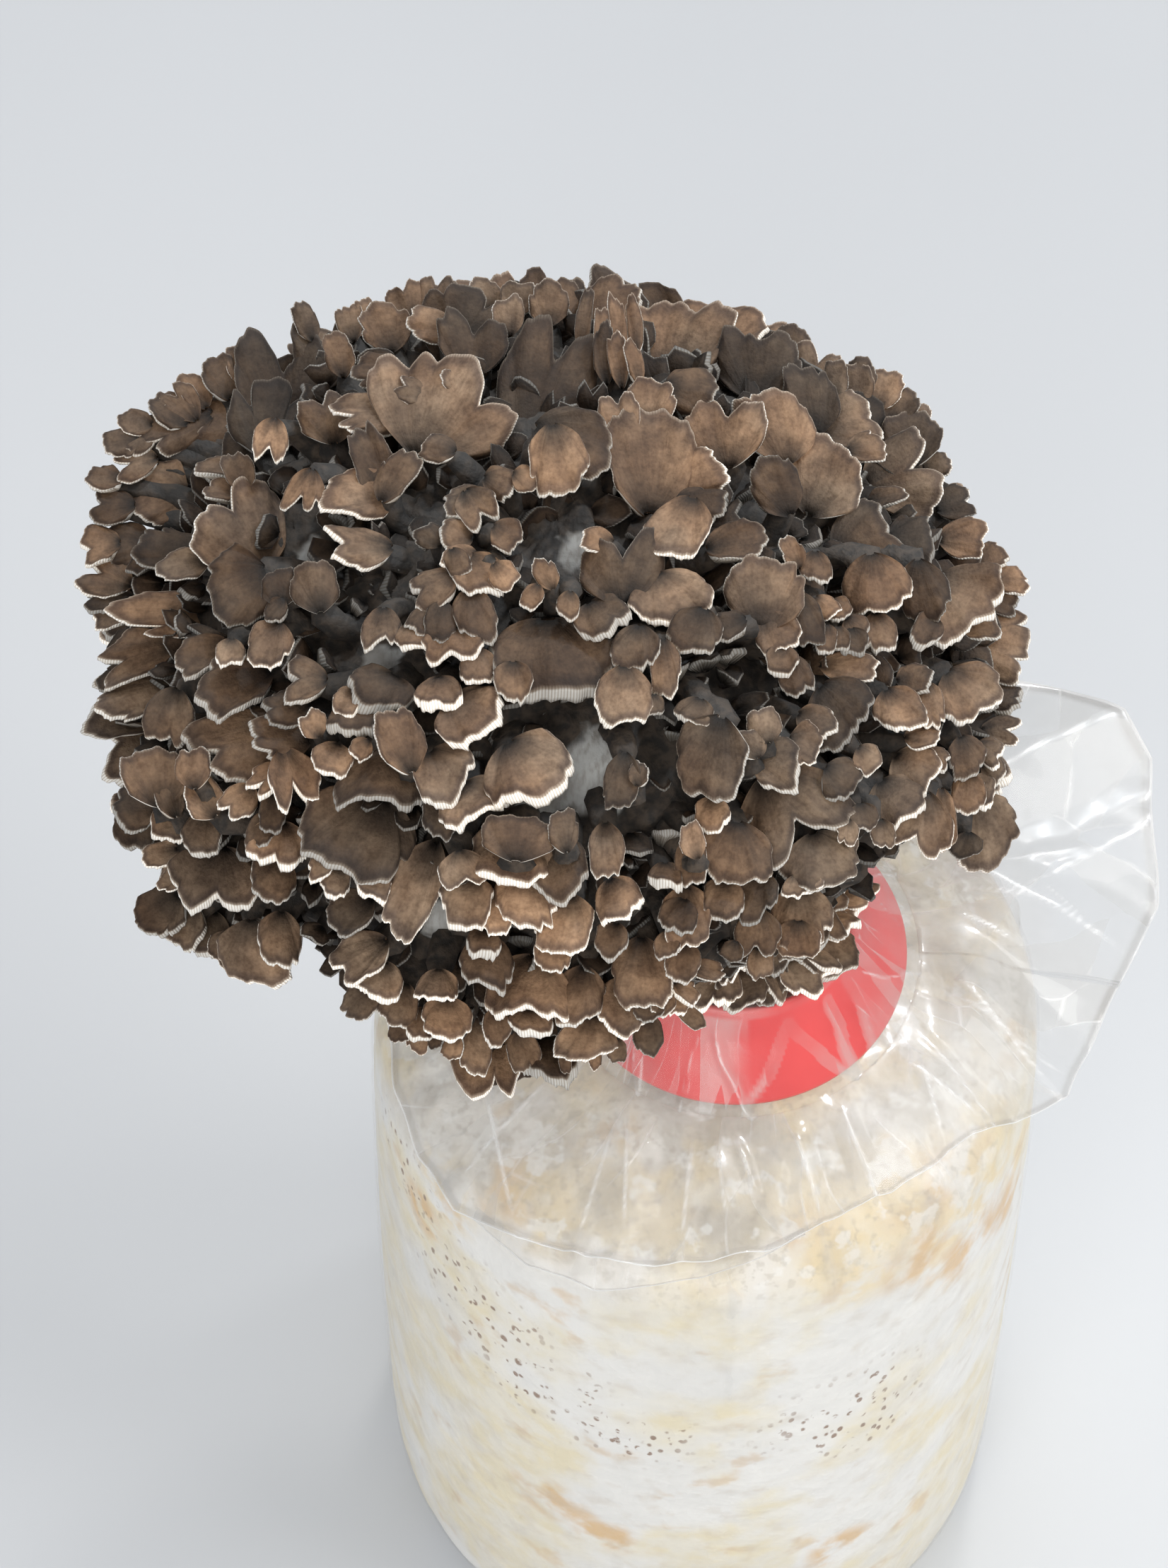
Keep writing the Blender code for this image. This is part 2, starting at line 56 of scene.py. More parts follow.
def sines(angle, waves, phases):
    # a sum of waves, each given by its pace and its height
    return sum(high * np.sin(pace * angle + phase) for (pace, high), phase in zip(waves, phases))


def loftFaces(rings, around, closeEnds=True):
    # quads between each ring and the next, and a strip of quads over each open end
    i, j = np.meshgrid(np.arange(rings - 1), np.arange(around), indexing="ij")
    k = (j + 1) % around
    side = np.stack([i * around + j, i * around + k, (i + 1) * around + k, (i + 1) * around + j], -1)
    faces = [side.reshape(-1, 4)]
    if closeEnds:
        k = np.arange(around // 2 - 1)
        first = np.stack([k + 1, k, around - 1 - k, around - 2 - k], -1)
        last = np.stack([k, k + 1, around - 2 - k, around - 1 - k], -1) + (rings - 1) * around
        faces += [first, last]
    return np.concatenate(faces)


def loft(grid, place=None, zone=0.0, tone=0.5, closeEnds=True):
    # one part of a piece: points ring by ring, their place on the surface, zone and tone
    rings, around = grid.shape[:2]
    full = (rings, around)
    return {
        "points": grid.reshape(-1, 3),
        "faces": loftFaces(rings, around, closeEnds),
        "place": np.zeros((rings * around, 2)) if place is None else place.reshape(-1, 2),
        "zone": np.broadcast_to(zone, full).reshape(-1),
        "tone": np.broadcast_to(tone, full).reshape(-1),
    }


def makePiece(name, parts, material, replaced=()):
    # joins the parts into one mesh, with their map and attributes, and fixes it to the frame
    start = np.cumsum([0] + [len(part["points"]) for part in parts])[:-1]
    points = np.concatenate([part["points"] for part in parts]) * mm
    faces = np.concatenate([part["faces"] + at for part, at in zip(parts, start)])
    mesh = bpy.data.meshes.new(name)
    mesh.vertices.add(len(points))
    mesh.vertices.foreach_set("co", points.astype(np.float32).ravel())
    mesh.loops.add(faces.size)
    mesh.loops.foreach_set("vertex_index", faces.astype(np.int32).ravel())
    mesh.polygons.add(len(faces))
    mesh.polygons.foreach_set("loop_start", np.arange(0, faces.size, 4, dtype=np.int32))
    mesh.polygons.foreach_set("use_smooth", np.ones(len(faces), bool))
    mesh.update(calc_edges=True)
    place = np.concatenate([part["place"] for part in parts])[faces.ravel()]
    mesh.uv_layers.new(name="place").data.foreach_set("uv", place.astype(np.float32).ravel())
    for key in ("zone", "tone"):
        values = np.concatenate([part[key] for part in parts])
        attribute = mesh.attributes.new(key, "FLOAT", "POINT")
        attribute.data.foreach_set("value", values.astype(np.float32))
    mesh.materials.append(material)
    piece = bpy.data.objects.new(name, mesh)
    bpy.context.scene.collection.objects.link(piece)
    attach(piece, "root")
    if replaced:
        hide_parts(*replaced)
    return piece


def feed(node, inputs):
    # sets a node's numbers and makes its links
    for key, value in inputs.items():
        if isinstance(value, bpy.types.NodeSocket):
            node.id_data.links.new(value, node.inputs[key])
        else:
            node.inputs[key].default_value = value


def put(tree, kind, inputs=None, **settings):
    # one node with its settings, its numbers and its links
    node = tree.nodes.new(kind)
    for key, value in settings.items():
        setattr(node, key, value)
    feed(node, inputs or {})
    return node


def beside(values, kind, inputs, **settings):
    # one node in the tree that the first socket among the values belongs to
    tree = next(value.id_data for value in values if isinstance(value, bpy.types.NodeSocket))
    return put(tree, kind, inputs, **settings)


def newMaterial(name):
    material = bpy.data.materials.new(name)
    material.use_nodes = True
    tree = material.node_tree
    return material, tree, tree.nodes["Principled BSDF"]


def given(tree, *names):
    # what a material starts from: here is the object's own coordinates, place the surface's map,
    # and any other name an attribute
    found = []
    for name in names:
        if name == "here":
            found.append(put(tree, "ShaderNodeTexCoord").outputs["Object"])
        elif name == "place":
            found.append(put(tree, "ShaderNodeUVMap", uv_map="place").outputs[0])
        else:
            found.append(put(tree, "ShaderNodeAttribute", attribute_name=name).outputs["Fac"])
    return found


def blend(factor, a, b, kind="MIX"):
    # a colour written as three numbers gets an alpha of 1
    a, b = ((*colour, 1) if isinstance(colour, tuple) else colour for colour in (a, b))
    inputs = {0: factor, 6: a, 7: b}
    return beside((factor, a, b), "ShaderNodeMix", inputs, data_type="RGBA", blend_type=kind).outputs[2]


def tinted(colour, by):
    return blend(1.0, colour, by, "MULTIPLY")


def shaded(colour, shade):
    grey = beside((shade,), "ShaderNodeCombineColor", {0: shade, 1: shade, 2: shade})
    return tinted(colour, grey.outputs[0])


def remap(value, low, high, toLow=0.0, toHigh=1.0):
    inputs = {"Value": value, "From Min": low, "From Max": high, "To Min": toLow, "To Max": toHigh}
    return beside((value,), "ShaderNodeMapRange", inputs, interpolation_type="SMOOTHSTEP").outputs["Result"]


def maths(kind, a, b=0.0):
    return beside((a, b), "ShaderNodeMath", {0: a, 1: b}, operation=kind).outputs[0]


def times(a, b):
    return maths("MULTIPLY", a, b)


def plus(a, b):
    return maths("ADD", a, b)


def most(a, b):
    return maths("MAXIMUM", a, b)


def ramp(value, stops):
    node = beside((value,), "ShaderNodeValToRGB", {"Fac": value})
    elements = node.color_ramp.elements
    while len(elements) < len(stops):
        elements.new(0.5)
    for element, (at, colour) in zip(elements, stops):
        element.position = at
        element.color = (*colour, 1)
    return node.outputs["Color"]


def noise(vector, scale, detail, output="Fac"):
    inputs = {"Vector": vector, "Scale": scale, "Detail": detail}
    return beside((vector,), "ShaderNodeTexNoise", inputs).outputs[output]


def stretched(vector, scale):
    return beside((vector,), "ShaderNodeMapping", {"Vector": vector, "Scale": scale}).outputs[0]


def roughen(shader, height, strength, distance):
    # bumps of the given height on the shader's surface, which gives back their normal
    inputs = {"Height": height, "Strength": strength, "Distance": distance}
    normal = beside((height,), "ShaderNodeBump", inputs).outputs[0]
    feed(shader, {"Normal": normal})
    return normal


def makeCloudGroup():
    # cloudy mask: noise in the given coordinates, opened up between two levels
    group = bpy.data.node_groups.new("cloudMask", "ShaderNodeTree")
    for label in ("Vector", "Scale", "Low", "High"):
        kind = "NodeSocketVector" if label == "Vector" else "NodeSocketFloat"
        group.interface.new_socket(label, in_out="INPUT", socket_type=kind)
    group.interface.new_socket("Mask", in_out="OUTPUT", socket_type="NodeSocketFloat")
    asked = group.nodes.new("NodeGroupInput").outputs
    opened = remap(noise(asked["Vector"], asked["Scale"], 4.0), asked["Low"], asked["High"])
    put(group, "NodeGroupOutput", {"Mask": opened})
    return group


cloudMask = makeCloudGroup()


def cloud(vector, scale, low, high):
    inputs = {"Vector": vector, "Scale": scale, "Low": low, "High": high}
    return beside((vector,), "ShaderNodeGroup", inputs, node_tree=cloudMask).outputs["Mask"]


# In the materials below, each cloud is given by its scale and the two levels that it opens between,
# and each grain by its noise's scale and detail and by the bump's strength and distance.
capFinish = {
    "heel": (0.022, 0.017, 0.013), "body": (0.100, 0.069, 0.046), "bright": (0.245, 0.168, 0.110),
    "band": (0.140, 0.096, 0.069), "lip": (0.48, 0.40, 0.32), "teeth": (0.90, 0.86, 0.79),
    "pores": (0.56, 0.50, 0.42), "shadedPores": (0.20, 0.17, 0.14),
    "ashen": (0.84, 0.87, 0.88), "rusty": (1.14, 0.99, 0.84), "hueShare": 0.8,
    # painted shade: the dark heel, deep in the cluster, and the pores darkening towards it underneath
    # where each colour stands, from the heel over the rim and back underneath
    "stops": (
        (0.0, "heel"), (0.06, "body"), (0.17, "bright"), (0.275, "bright"), (0.306, "band"),
        (0.320, "band"), (0.335, "lip"), (0.39, "teeth"), (0.64, "teeth"), (0.71, "pores"),
        (1.0, "shadedPores"),
    ),
    "squeeze": (1.0, 0.20, 1.0), "streak": (760.0, 0.28, 0.70), "mottle": (420.0, 0.36, 0.62),
    "grain": (1500.0, 0.34, 0.62), "blotch": (95.0, 0.32, 0.68), "hue": (34.0, 0.38, 0.62),
    # the shares of streak, mottle and grain, and what they and the blotches do to the colour
    "shares": (0.30, 0.42, 0.28), "darker": (0.50, 0.46, 0.44), "paler": (1.12, 1.12, 1.12),
    "blotched": (0.50, 0.47, 0.46),
    # bars of the rim: how many in a metre, and the painted shade that they lay between them
    "bars": 560.0, "barShade": (0.60, 0.54, 0.48), "barShare": 0.8, "shade": (0.15, 1.58),
    "felt": (2600.0, 3.0), "bump": (0.35, 0.0005), "roughness": 0.85, "specular": 0.25,
}


def capMaterial():
    # colour by zone: 0 to 1 up the cap's top, 1 to 2 down its toothed rim, 2 to 3 back underneath
    look = capFinish
    material, tree, shader = newMaterial("capSkin")
    here, place, zone, tone = given(tree, "here", "place", "zone", "tone")
    # streaks run from the heel to the rim: noise squeezed across the cap
    streak = cloud(stretched(place, look["squeeze"]), *look["streak"])
    mottle, blotch, hue, grain = (cloud(here, *look[key]) for key in ("mottle", "blotch", "hue", "grain"))
    base = ramp(maths("DIVIDE", zone, 3.0), [(at, look[key]) for at, key in look["stops"]])
    onTop = remap(zone, 1.02, 0.94)
    onRim = maths("SUBTRACT", 1.0, onTop)
    patched = blend(times(blotch, onTop), tinted(base, look["blotched"]), base)
    patched = blend(onTop, base, patched)
    a, b, c = look["shares"]
    light = plus(plus(times(streak, a), times(mottle, b)), times(grain, c))
    coloured = blend(light, tinted(patched, look["darker"]), tinted(patched, look["paler"]))
    coloured = blend(onTop, patched, coloured)
    tint = blend(hue, look["ashen"], look["rusty"])
    coloured = blend(times(onTop, look["hueShare"]), coloured, tinted(coloured, tint))
    # teeth of the rim: fine bars along the margin, with painted shade between them
    inputs = {"Vector": place, "Scale": look["bars"], "Distortion": 1.2, "Detail": 1.0}
    waves = put(tree, "ShaderNodeTexWave", inputs, wave_type="BANDS", bands_direction="X")
    bars = waves.outputs["Fac"]
    gap = times(remap(bars, 0.42, 0.08), onRim)
    coloured = blend(times(gap, look["barShare"]), coloured, tinted(coloured, look["barShade"]))
    height = plus(times(noise(here, *look["felt"]), 0.5), times(light, onTop))
    roughen(shader, plus(height, times(bars, onRim)), *look["bump"])
    feed(shader, {
        "Base Color": shaded(coloured, remap(tone, 0.0, 1.0, *look["shade"])),
        "Roughness": look["roughness"], "Specular IOR Level": look["specular"],
    })
    return material


stemFinish = {
    "flesh": (0.52, 0.52, 0.50), "shadow": (0.020, 0.015, 0.011), "lighterShade": (0.076, 0.054, 0.037),
    "bruise": (0.30, 0.28, 0.25), "roughness": 0.85, "shade": (0.35, 1.2),
    "clouds": (90.0, 0.35, 0.62), "draw": (2.2, 1.0, 0.35), "fibres": (420.0, 0.25, 0.60),
    "grains": (420.0, 0.36, 0.64), "grain": (420.0, 5.0), "bump": (0.7, 0.0012),
}


def stemMaterial():
    # pale fibrous flesh with grey clouds, and grainy dark brown painted shade along the stalks (zone 0 to
    # 1)
    look = stemFinish
    material, tree, shader = newMaterial("stemFlesh")
    here, zone, tone = given(tree, "here", "zone", "tone")
    fibres = cloud(stretched(here, look["draw"]), *look["fibres"])
    flesh = blend(times(cloud(here, *look["clouds"]), fibres), look["bruise"], look["flesh"])
    # painted shade: the stalks deep in the cluster are laid in mottled dark brown
    shadedBrown = blend(cloud(here, *look["grains"]), look["shadow"], look["lighterShade"])
    flesh = blend(remap(zone, 0.08, 0.6), flesh, shadedBrown)
    roughen(shader, noise(here, *look["grain"]), *look["bump"])
    feed(shader, {
        "Base Color": shaded(flesh, remap(tone, 0.0, 1.0, *look["shade"])), "Roughness": look["roughness"],
    })
    return material


blockFinish = {
    "mycelium": (0.80, 0.78, 0.735), "cream": (0.78, 0.68, 0.45), "stain": (0.68, 0.42, 0.16),
    "damp": (0.56, 0.47, 0.36), "ashAndShade": (0.33, 0.28, 0.21), "speck": (0.20, 0.088, 0.028),
    "yellow": (0.80, 0.60, 0.27),
    # the gloss is that of the film that clings to it
    "roughness": 0.5, "coat": 0.35, "coatRoughness": 0.16, "bump": (0.6, 0.002), "ragged": (85.0, 6.0),
    # stains seen through the film: where each one is and how far it reaches, in mm
    "stains": (
        (-31, -60, 88, 13), (-20, -64, 78, 10), (4, -67, 56, 12), (30, -60, 62, 10), (52, -42, 176, 16),
        (40, -52, 192, 12), (60, -28, 168, 12), (-56, -34, 178, 10), (-30, 56, 120, 16), (46, 46, 90, 14),
        (-62, 10, 60, 12), (-40, -46, 209, 12), (42, -46, 206, 12), (20, -54, 207, 8),
    ),
    # grey places of the top: the first three a painted shadow of the head near the collar's front, the rest
    # damp
    "wet": (
        (6, -40, 212, 12), (3, -53, 209, 9), (27, -38, 212, 10), (-20, -48, 210, 8), (46, 4, 212, 12),
        (-10, 44, 212, 14),
    ),
    # yellow places of the shoulder
    "yellowed": (
        (52, -43, 195, 22), (30, -57, 198, 16), (-52, -40, 196, 14), (-36, -50, 206, 14),
        (62, -22, 180, 14), (40, 50, 196, 18),
    ),
    # clusters of dark specks
    "clusters": (
        (-47, -48, 162, 26), (-34, -58, 146, 24), (-16, -65, 134, 20), (27, -61, 138, 24),
        (34, -58, 124, 16), (-60, -28, 186, 18), (58, 34, 150, 16), (-20, 64, 160, 18), (-66, 12, 120, 14),
    ),
    # colours laid one over the other: the mask, its share, and the colour
    "layers": (
        ("yellowed", 0.72, "yellow"), ("stained", 1.0, "stain"), ("dusty", 0.32, "damp"),
        ("top", 0.34, "damp"), ("patches", 0.40, "ashAndShade"), ("warmed", 0.45, "yellow"), ("wet", 0.42, "ashAndShade"),
        ("crusts", 0.62, "mycelium"), ("grains", 0.35, "ashAndShade"), ("specks", 0.92, "speck"),
    ),
    "clouds": {
        "fineCream": (120.0, 0.40, 0.66), "yellowed": (170.0, 0.40, 0.60), "stains": (110.0, 0.34, 0.58),
        "scattered": (75.0, 0.60, 0.72), "dusty": (150.0, 0.50, 0.72), "patches": (70.0, 0.48, 0.58),
        "warmed": (54.0, 0.47, 0.62), "crusts": (160.0, 0.56, 0.64), "grains": (520.0, 0.52, 0.66),
        "small": (330.0, 0.46, 0.53), "broad": (170.0, 0.50, 0.56),
    },
    "broadCream": (30.0, 0.42, 0.58), "flat": (1.0, 1.0, 0.75), "topHeights": (0.190, 0.207),
    # the specks' cells: scale, the levels that they open between, and the cloud that scatters them
    "tall": (1.0, 1.0, 0.6), "cells": ((430.0, 0.36, 0.20, "small"), (210.0, 0.24, 0.14, "broad")),
}


def nearSpots(here, spots, ragged):
    # 1 inside any of the spots, falling off raggedly towards its reach
    total = None
    for x, y, z, reach in spots:
        inputs = {0: here, 1: (x * mm, y * mm, z * mm)}
        gap = beside((here,), "ShaderNodeVectorMath", inputs, operation="DISTANCE").outputs["Value"]
        gap = plus(gap, times(maths("SUBTRACT", ragged, 0.5), reach * mm))
        spot = remap(gap, reach * mm, reach * mm * 0.35)
        total = spot if total is None else most(total, spot)
    return total


def blockMaterial():
    # white mycelium over sawdust: cream streaks, orange stains, a damp grey top with a painted shadow near
    # the collar, and brown specks
    look = blockFinish
    material, tree, shader = newMaterial("colonisedBlock")
    here, = given(tree, "here")
    ragged = noise(here, *look["ragged"])
    onTop = remap(put(tree, "ShaderNodeSeparateXYZ", {0: here}).outputs["Z"], *look["topHeights"])
    near = {key: nearSpots(here, look[key], ragged) for key in ("yellowed", "stains", "wet", "clusters")}
    soft = {key: cloud(here, *levels) for key, levels in look["clouds"].items()}
    masks = {key: times(soft[key], onTop) for key in ("patches", "warmed", "crusts", "grains")}
    masks.update(top=onTop, wet=near["wet"], dusty=soft["dusty"])
    masks["yellowed"] = times(near["yellowed"], soft["yellowed"])
    stains = times(times(near["stains"], 0.88), soft["stains"])
    masks["stained"] = most(stains, times(soft["scattered"], 0.45))
    # specks: cells of two sizes, kept only where a scattering noise lets them through
    tall = stretched(here, look["tall"])
    cells = [
        put(tree, "ShaderNodeTexVoronoi", {"Vector": tall, "Scale": scale}).outputs["Distance"]
        for scale, *_ in look["cells"]
    ]
    small, broad = (
        times(remap(cell, low, high), soft[key]) for cell, (_, low, high, key) in zip(cells, look["cells"])
    )
    masks["specks"] = times(most(small, broad), near["clusters"])
    broadCream = cloud(stretched(here, look["flat"]), *look["broadCream"])
    cream = times(broadCream, plus(times(soft["fineCream"], 0.5), 0.45))
    colour = blend(cream, look["mycelium"], look["cream"])
    for key, share, name in look["layers"]:
        colour = blend(times(masks[key], share), colour, look[name])
    roughen(shader, plus(ragged, times(cells[0], 0.12)), *look["bump"])
    feed(shader, {
        "Base Color": colour, "Roughness": look["roughness"],
        "Coat Weight": look["coat"], "Coat Roughness": look["coatRoughness"],
    })
    return material


filmFinish = {
    "tint": (0.57, 0.555, 0.525), "ridgeHighlight": (0.90, 0.90, 0.89), "hemShadow": (0.40, 0.38, 0.35),
    "roughness": 0.30, "coat": 1.0, "coatRoughness": 0.05,
    # how much of the light each face of the film stops: where clear, in hazy clouds, on facets, along
    # their creases, on the folds' ridges, and along the free edge and its hem; the facets' random haze,
    # the pale creases, ridges and edge are painted highlights, and the hem a painted shadow line
    "clear": 0.045, "haze": 0.12, "facet": 0.15, "crease": 0.13, "fold": 0.17, "edge": 0.70, "hem": 0.16,
    "clouds": (26.0, 0.38, 0.68), "broken": (60.0, 0.46, 0.62),
    # facets: how many in a metre across and along the folds, the scale and reach of what bends them,
    # and how deep they stand
    "cells": (150.0, 42.0, 1.0), "bending": (26.0, 0.030), "soft": (34.0, 2.0), "bump": (0.55, 0.0016),
}


def filmMaterial():
    # clear film: a milky haze in clouds; where it hangs loose (tone over 0), long flat facets of the
    # film's own map with thin pale creases between them; and the modelled folds' ridges (tone 1). The
    # facets' brightness, the creases and the ridges are painted highlights
    look = filmFinish
    material, tree, shader = newMaterial("clearFilm")
    here, place, zone, tone = given(tree, "here", "place", "zone", "tone")
    scale, reach = look["bending"]
    bent = noise(place, scale, 1.0, "Color")
    bent = put(tree, "ShaderNodeVectorMath", {0: bent, "Scale": reach}, operation="SCALE").outputs[0]
    moved = put(tree, "ShaderNodeVectorMath", {0: place, 1: bent}, operation="ADD").outputs[0]
    inputs = {"Vector": stretched(moved, look["cells"]), "Scale": 1.0}
    edges, cells = (
        put(tree, "ShaderNodeTexVoronoi", inputs, feature=feature, voronoi_dimensions="2D")
        for feature in ("DISTANCE_TO_EDGE", "F1")
    )
    chance = put(tree, "ShaderNodeSeparateColor", {0: cells.outputs["Color"]}).outputs[0]
    creased = times(remap(edges.outputs["Distance"], 0.05, 0.0), cloud(here, *look["broken"]))
    hazy = times(cloud(here, *look["clouds"]), remap(tone, 0.0, 0.1, 0.0, look["haze"]))
    faceted = plus(times(remap(chance, 0.35, 0.95), look["facet"]), times(creased, look["crease"]))
    faceted = times(faceted, remap(tone, 0.0, 0.6))
    stopped = plus(plus(hazy, look["clear"]), faceted)
    stopped = plus(stopped, remap(tone, 0.66, 1.0, 0.0, look["fold"]))
    # the free edge: a painted shadow line, then a painted highlight line
    hem = remap(zone, 0.06, 0.30)
    stopped = plus(stopped, times(hem, look["hem"]))
    stopped = most(stopped, remap(zone, 0.5, 1.0, 0.0, look["edge"]))
    height = plus(times(cells.outputs["Distance"], 0.5), noise(here, *look["soft"]))
    highlightLines = most(most(remap(tone, 0.66, 1.0), remap(zone, 0.5, 1.0)), times(creased, 0.45))
    body = blend(hem, look["tint"], look["hemShadow"])
    feed(shader, {
        "Alpha": stopped, "Base Color": blend(highlightLines, body, look["ridgeHighlight"]), "Roughness": look["roughness"],
        "Coat Weight": look["coat"], "Coat Roughness": look["coatRoughness"],
        "Coat Normal": roughen(shader, height, *look["bump"]),
    })
    return material


collarFinish = {
    "coral": (0.78, 0.042, 0.042), "deep": (0.66, 0.026, 0.028), "roughness": 0.38,
    "clouds": (60.0, 0.3, 0.7), "grain": (900.0, 2.0), "bump": (0.15, 0.0002),
}


def collarMaterial():
    # moulded coral plastic, faintly uneven
    look = collarFinish
    material, tree, shader = newMaterial("coralPlastic")
    here, = given(tree, "here")
    colour = blend(cloud(here, *look["clouds"]), look["coral"], look["deep"])
    roughen(shader, noise(here, *look["grain"]), *look["bump"])
    feed(shader, {"Base Color": colour, "Roughness": look["roughness"]})
    return material


bag = {
    "segments": 288, "collarX": 5.0, "shoulder": 205.0, "mapRadius": 67, "filmThickness": 0.14,
    # radius and height of the film, from the underside's centre to the neck
    "wall": (
        (0.4, 0.35), (30, 0.35), (56, 0.4), (63, 2.2), (67.2, 7), (69, 15.4), (69.2, 55), (69.1, 105),
        (68.6, 150), (68.0, 180), (67.2, 196), (65.3, 203.2), (61, 207.4), (54, 210.6), (44, 214.6),
        (34, 218.6), (27, 220.6), (23, 222), (21.1, 225),
    ),
    # the same film inside the collar, over its lip and down its outside
    "neck": (
        (21.1, 232), (21.2, 239.6), (22.6, 241.2), (24.2, 240.0), (25.2, 236.0), (29.4, 230.3),
        (34.8, 223.2), (36.4, 221.2),
    ),
    # upright folds of the wall: bearing, top and foot, height and half width, in mm
    "folds": (
        (274, 207, 150, 1.5, 1.8), (257, 207, 176, 0.9, 1.6), (291, 207, 186, 0.7, 1.5),
        (231, 207, 160, 0.8, 2.2), (318, 207, 168, 0.8, 2.0), (20, 207, 130, 1.2, 2.2),
        (95, 207, 60, 1.6, 2.6), (150, 207, 120, 1.0, 2.0),
    ),
    # pleats of the film over the collar: bearing, and height in mm
    "pleats": (
        (253, 0.7), (266, 1.2), (283, 0.35), (300, 0.3), (312, 0.45), (325, 0.5), (341, 1.0), (8, 0.7),
        (24, 0.9), (45, 0.6), (70, 0.8), (95, 0.9), (122, 0.7), (150, 0.9), (180, 0.8), (205, 0.7),
        (230, 0.9),
    ),
    "pleatWidth": 1.3,
    # the cone over the collar: where it starts, and where its film lies smooth and clear: bearing,
    # degrees either side, and degrees over which it turns hazy; and how hazy it is there and elsewhere
    "coneFoot": 221, "coneTop": 24.6, "clearCone": (299, 22, 14), "looseTone": 0.56, "tautTone": 0.10,
    # swellings of the wall: the seed, size and height of the broad and of the fine ones
    "swell": ((3, 26, 0.16), (4, 9, 0.05)),
}

skirt = {
    # corners of the free edge: bearing, distance from the bag's axis, height
    "edge": (
        (2, 84, 206), (10, 92, 210), (18, 95, 214), (27, 101, 217), (33, 101, 219), (41, 93, 221),
        (60, 80, 222), (80, 70, 220), (110, 65, 217), (150, 64, 214), (180, 65, 212), (202, 66.5, 209),
        (214, 69, 208), (225, 70.5, 208), (237, 69, 210), (254, 65.5, 210.5), (270, 63, 211),
        (280, 61, 211), (306, 59.5, 211), (326, 62.5, 209), (341, 74.5, 200),
    ),
    "segments": 480, "rows": 72, "arch": 1.6, "hem": 0.22, "ridge": 0.85, "tone": 0.6, "mapRadius": 50,
    # waves of the edge, how narrow its painted highlight line is, and wrinkles: seed, size and height
    "flutter": ((13, 0.004), (31, 0.003)), "edgeLine": 36, "wrinkles": ((1, 26, 0.5), (2, 9, 0.12)),
    # folds as lines in plan: from, to, height and half width, in mm
    "creases": (
        (35, 6, 70, -25, 5.0, 13.0), (43, 22, 84, 4, 4.5, 11.0), (30, -20, 56, -33, 2.6, 9.0),
        (-16, -30, -17, -60, 3.2, 7.0), (-44, -28, -38, -56, 2.4, 6.0), (0, -34, 3, -58, 1.8, 7.0),
        (50, 34, 82, 54, 4.0, 12.0), (-42, 4, -64, -8, 2.4, 8.0), (-34, 28, -48, 44, 2.4, 8.0),
        (4, 44, 2, 66, 2.4, 9.0), (-16, -30, -27, -62, 1.4, 2.2), (2, -33, 8, -50, 1.5, 2.0),
        (27, 17, 36, 8, 1.6, 3.0), (14, -33, 22, -56, 1.2, 3.0), (-30, -26, -50, -46, 1.6, 4.0),
        (62, 14, 92, 34, 1.8, 6.0), (36, -9, 46, -38, 1.3, 3.0), (46, 10, 62, 4, 1.4, 2.4),
        (50, 14, 66, 12, 1.2, 2.0), (40, -2, 50, -14, 1.2, 2.4), (-3, -35, -6, -61, 1.3, 2.4),
        (24, -31, 34, -54, 1.4, 3.0), (38, -14, 62, -38, 1.6, 3.4), (41, -6, 74, -22, 1.8, 3.4),
        (44, 16, 80, 26, 1.8, 3.4), (-38, -12, -58, -22, 1.4, 3.0), (-36, 16, -56, 26, 1.4, 3.0),
        (-14, 40, -20, 60, 1.4, 3.0), (22, 38, 32, 60, 1.4, 3.0), (66, 16, 76, 8, 0.8, 1.6),
    ),
    # the bag's other wall, which shows below the front of the skirt: bearing, distance and height
    "underlap": 1.5, "underFrom": 210.0, "underGrid": (16, 90),
    "underWrinkles": ((5, 12, 0.35), (6, 5, 0.10)),
    "underEdge": (
        (228, 69, 206.5), (240, 71, 207), (246, 70, 207.2), (251, 70.4, 207), (256, 68.6, 207.4),
        (262, 66.4, 208), (268, 64.6, 208.4), (276, 62.4, 208.8), (288, 59, 209.6),
    ),
}


def rounded(points, passes=2):
    # Chaikin's rule: every corner is cut at a quarter and at three quarters of its sides
    line = np.array(points, float)
    for _ in range(passes):
        cut = np.stack([0.75 * line[:-1] + 0.25 * line[1:], 0.25 * line[:-1] + 0.75 * line[1:]], 1)
        line = np.concatenate([line[:1], cut.reshape(-1, line.shape[1]), line[-1:]])
    return line


def resampled(line, step):
    # the same line with a point at least every step
    gap = np.linalg.norm(np.diff(line, axis=0), axis=1)
    reach = np.concatenate([[0], np.cumsum(gap)])
    at = np.linspace(0, reach[-1], int(reach[-1] / step) + 2)
    return np.stack([np.interp(at, reach, line[:, k]) for k in range(line.shape[1])], -1)


def revolved(profile, segments):
    # each point of the profile carried once round the Z axis
    turn = np.arange(segments) * 2 * math.pi / segments
    circle = np.stack([np.cos(turn), np.sin(turn)], -1)
    flat = profile[:, None, :1] * circle[None]
    return np.concatenate([flat, np.broadcast_to(profile[:, None, 1:], (*flat.shape[:2], 1))], -1)


def neckShift(grid):
    # above the shoulder the neck stands a little to the right of the bag's axis
    radius = np.hypot(grid[..., 0], grid[..., 1])
    aside = bag["collarX"] * smoothStep((60 - radius) / 24)
    grid[..., 0] += np.where(grid[..., 2] > bag["shoulder"], aside, 0)
    return grid


def wrinkles(x, y, seed, size, height):
    # a sum of plane waves of about the given size in seeded directions
    draw = np.random.default_rng(seed)
    total = np.zeros_like(x)
    for _ in range(9):
        turn, phase = draw.uniform(0, 2 * math.pi, 2)
        pace = 2 * math.pi / (size * draw.uniform(0.6, 1.6))
        total += np.sin(pace * (x * math.cos(turn) + y * math.sin(turn)) + phase)
    return height * total / 3


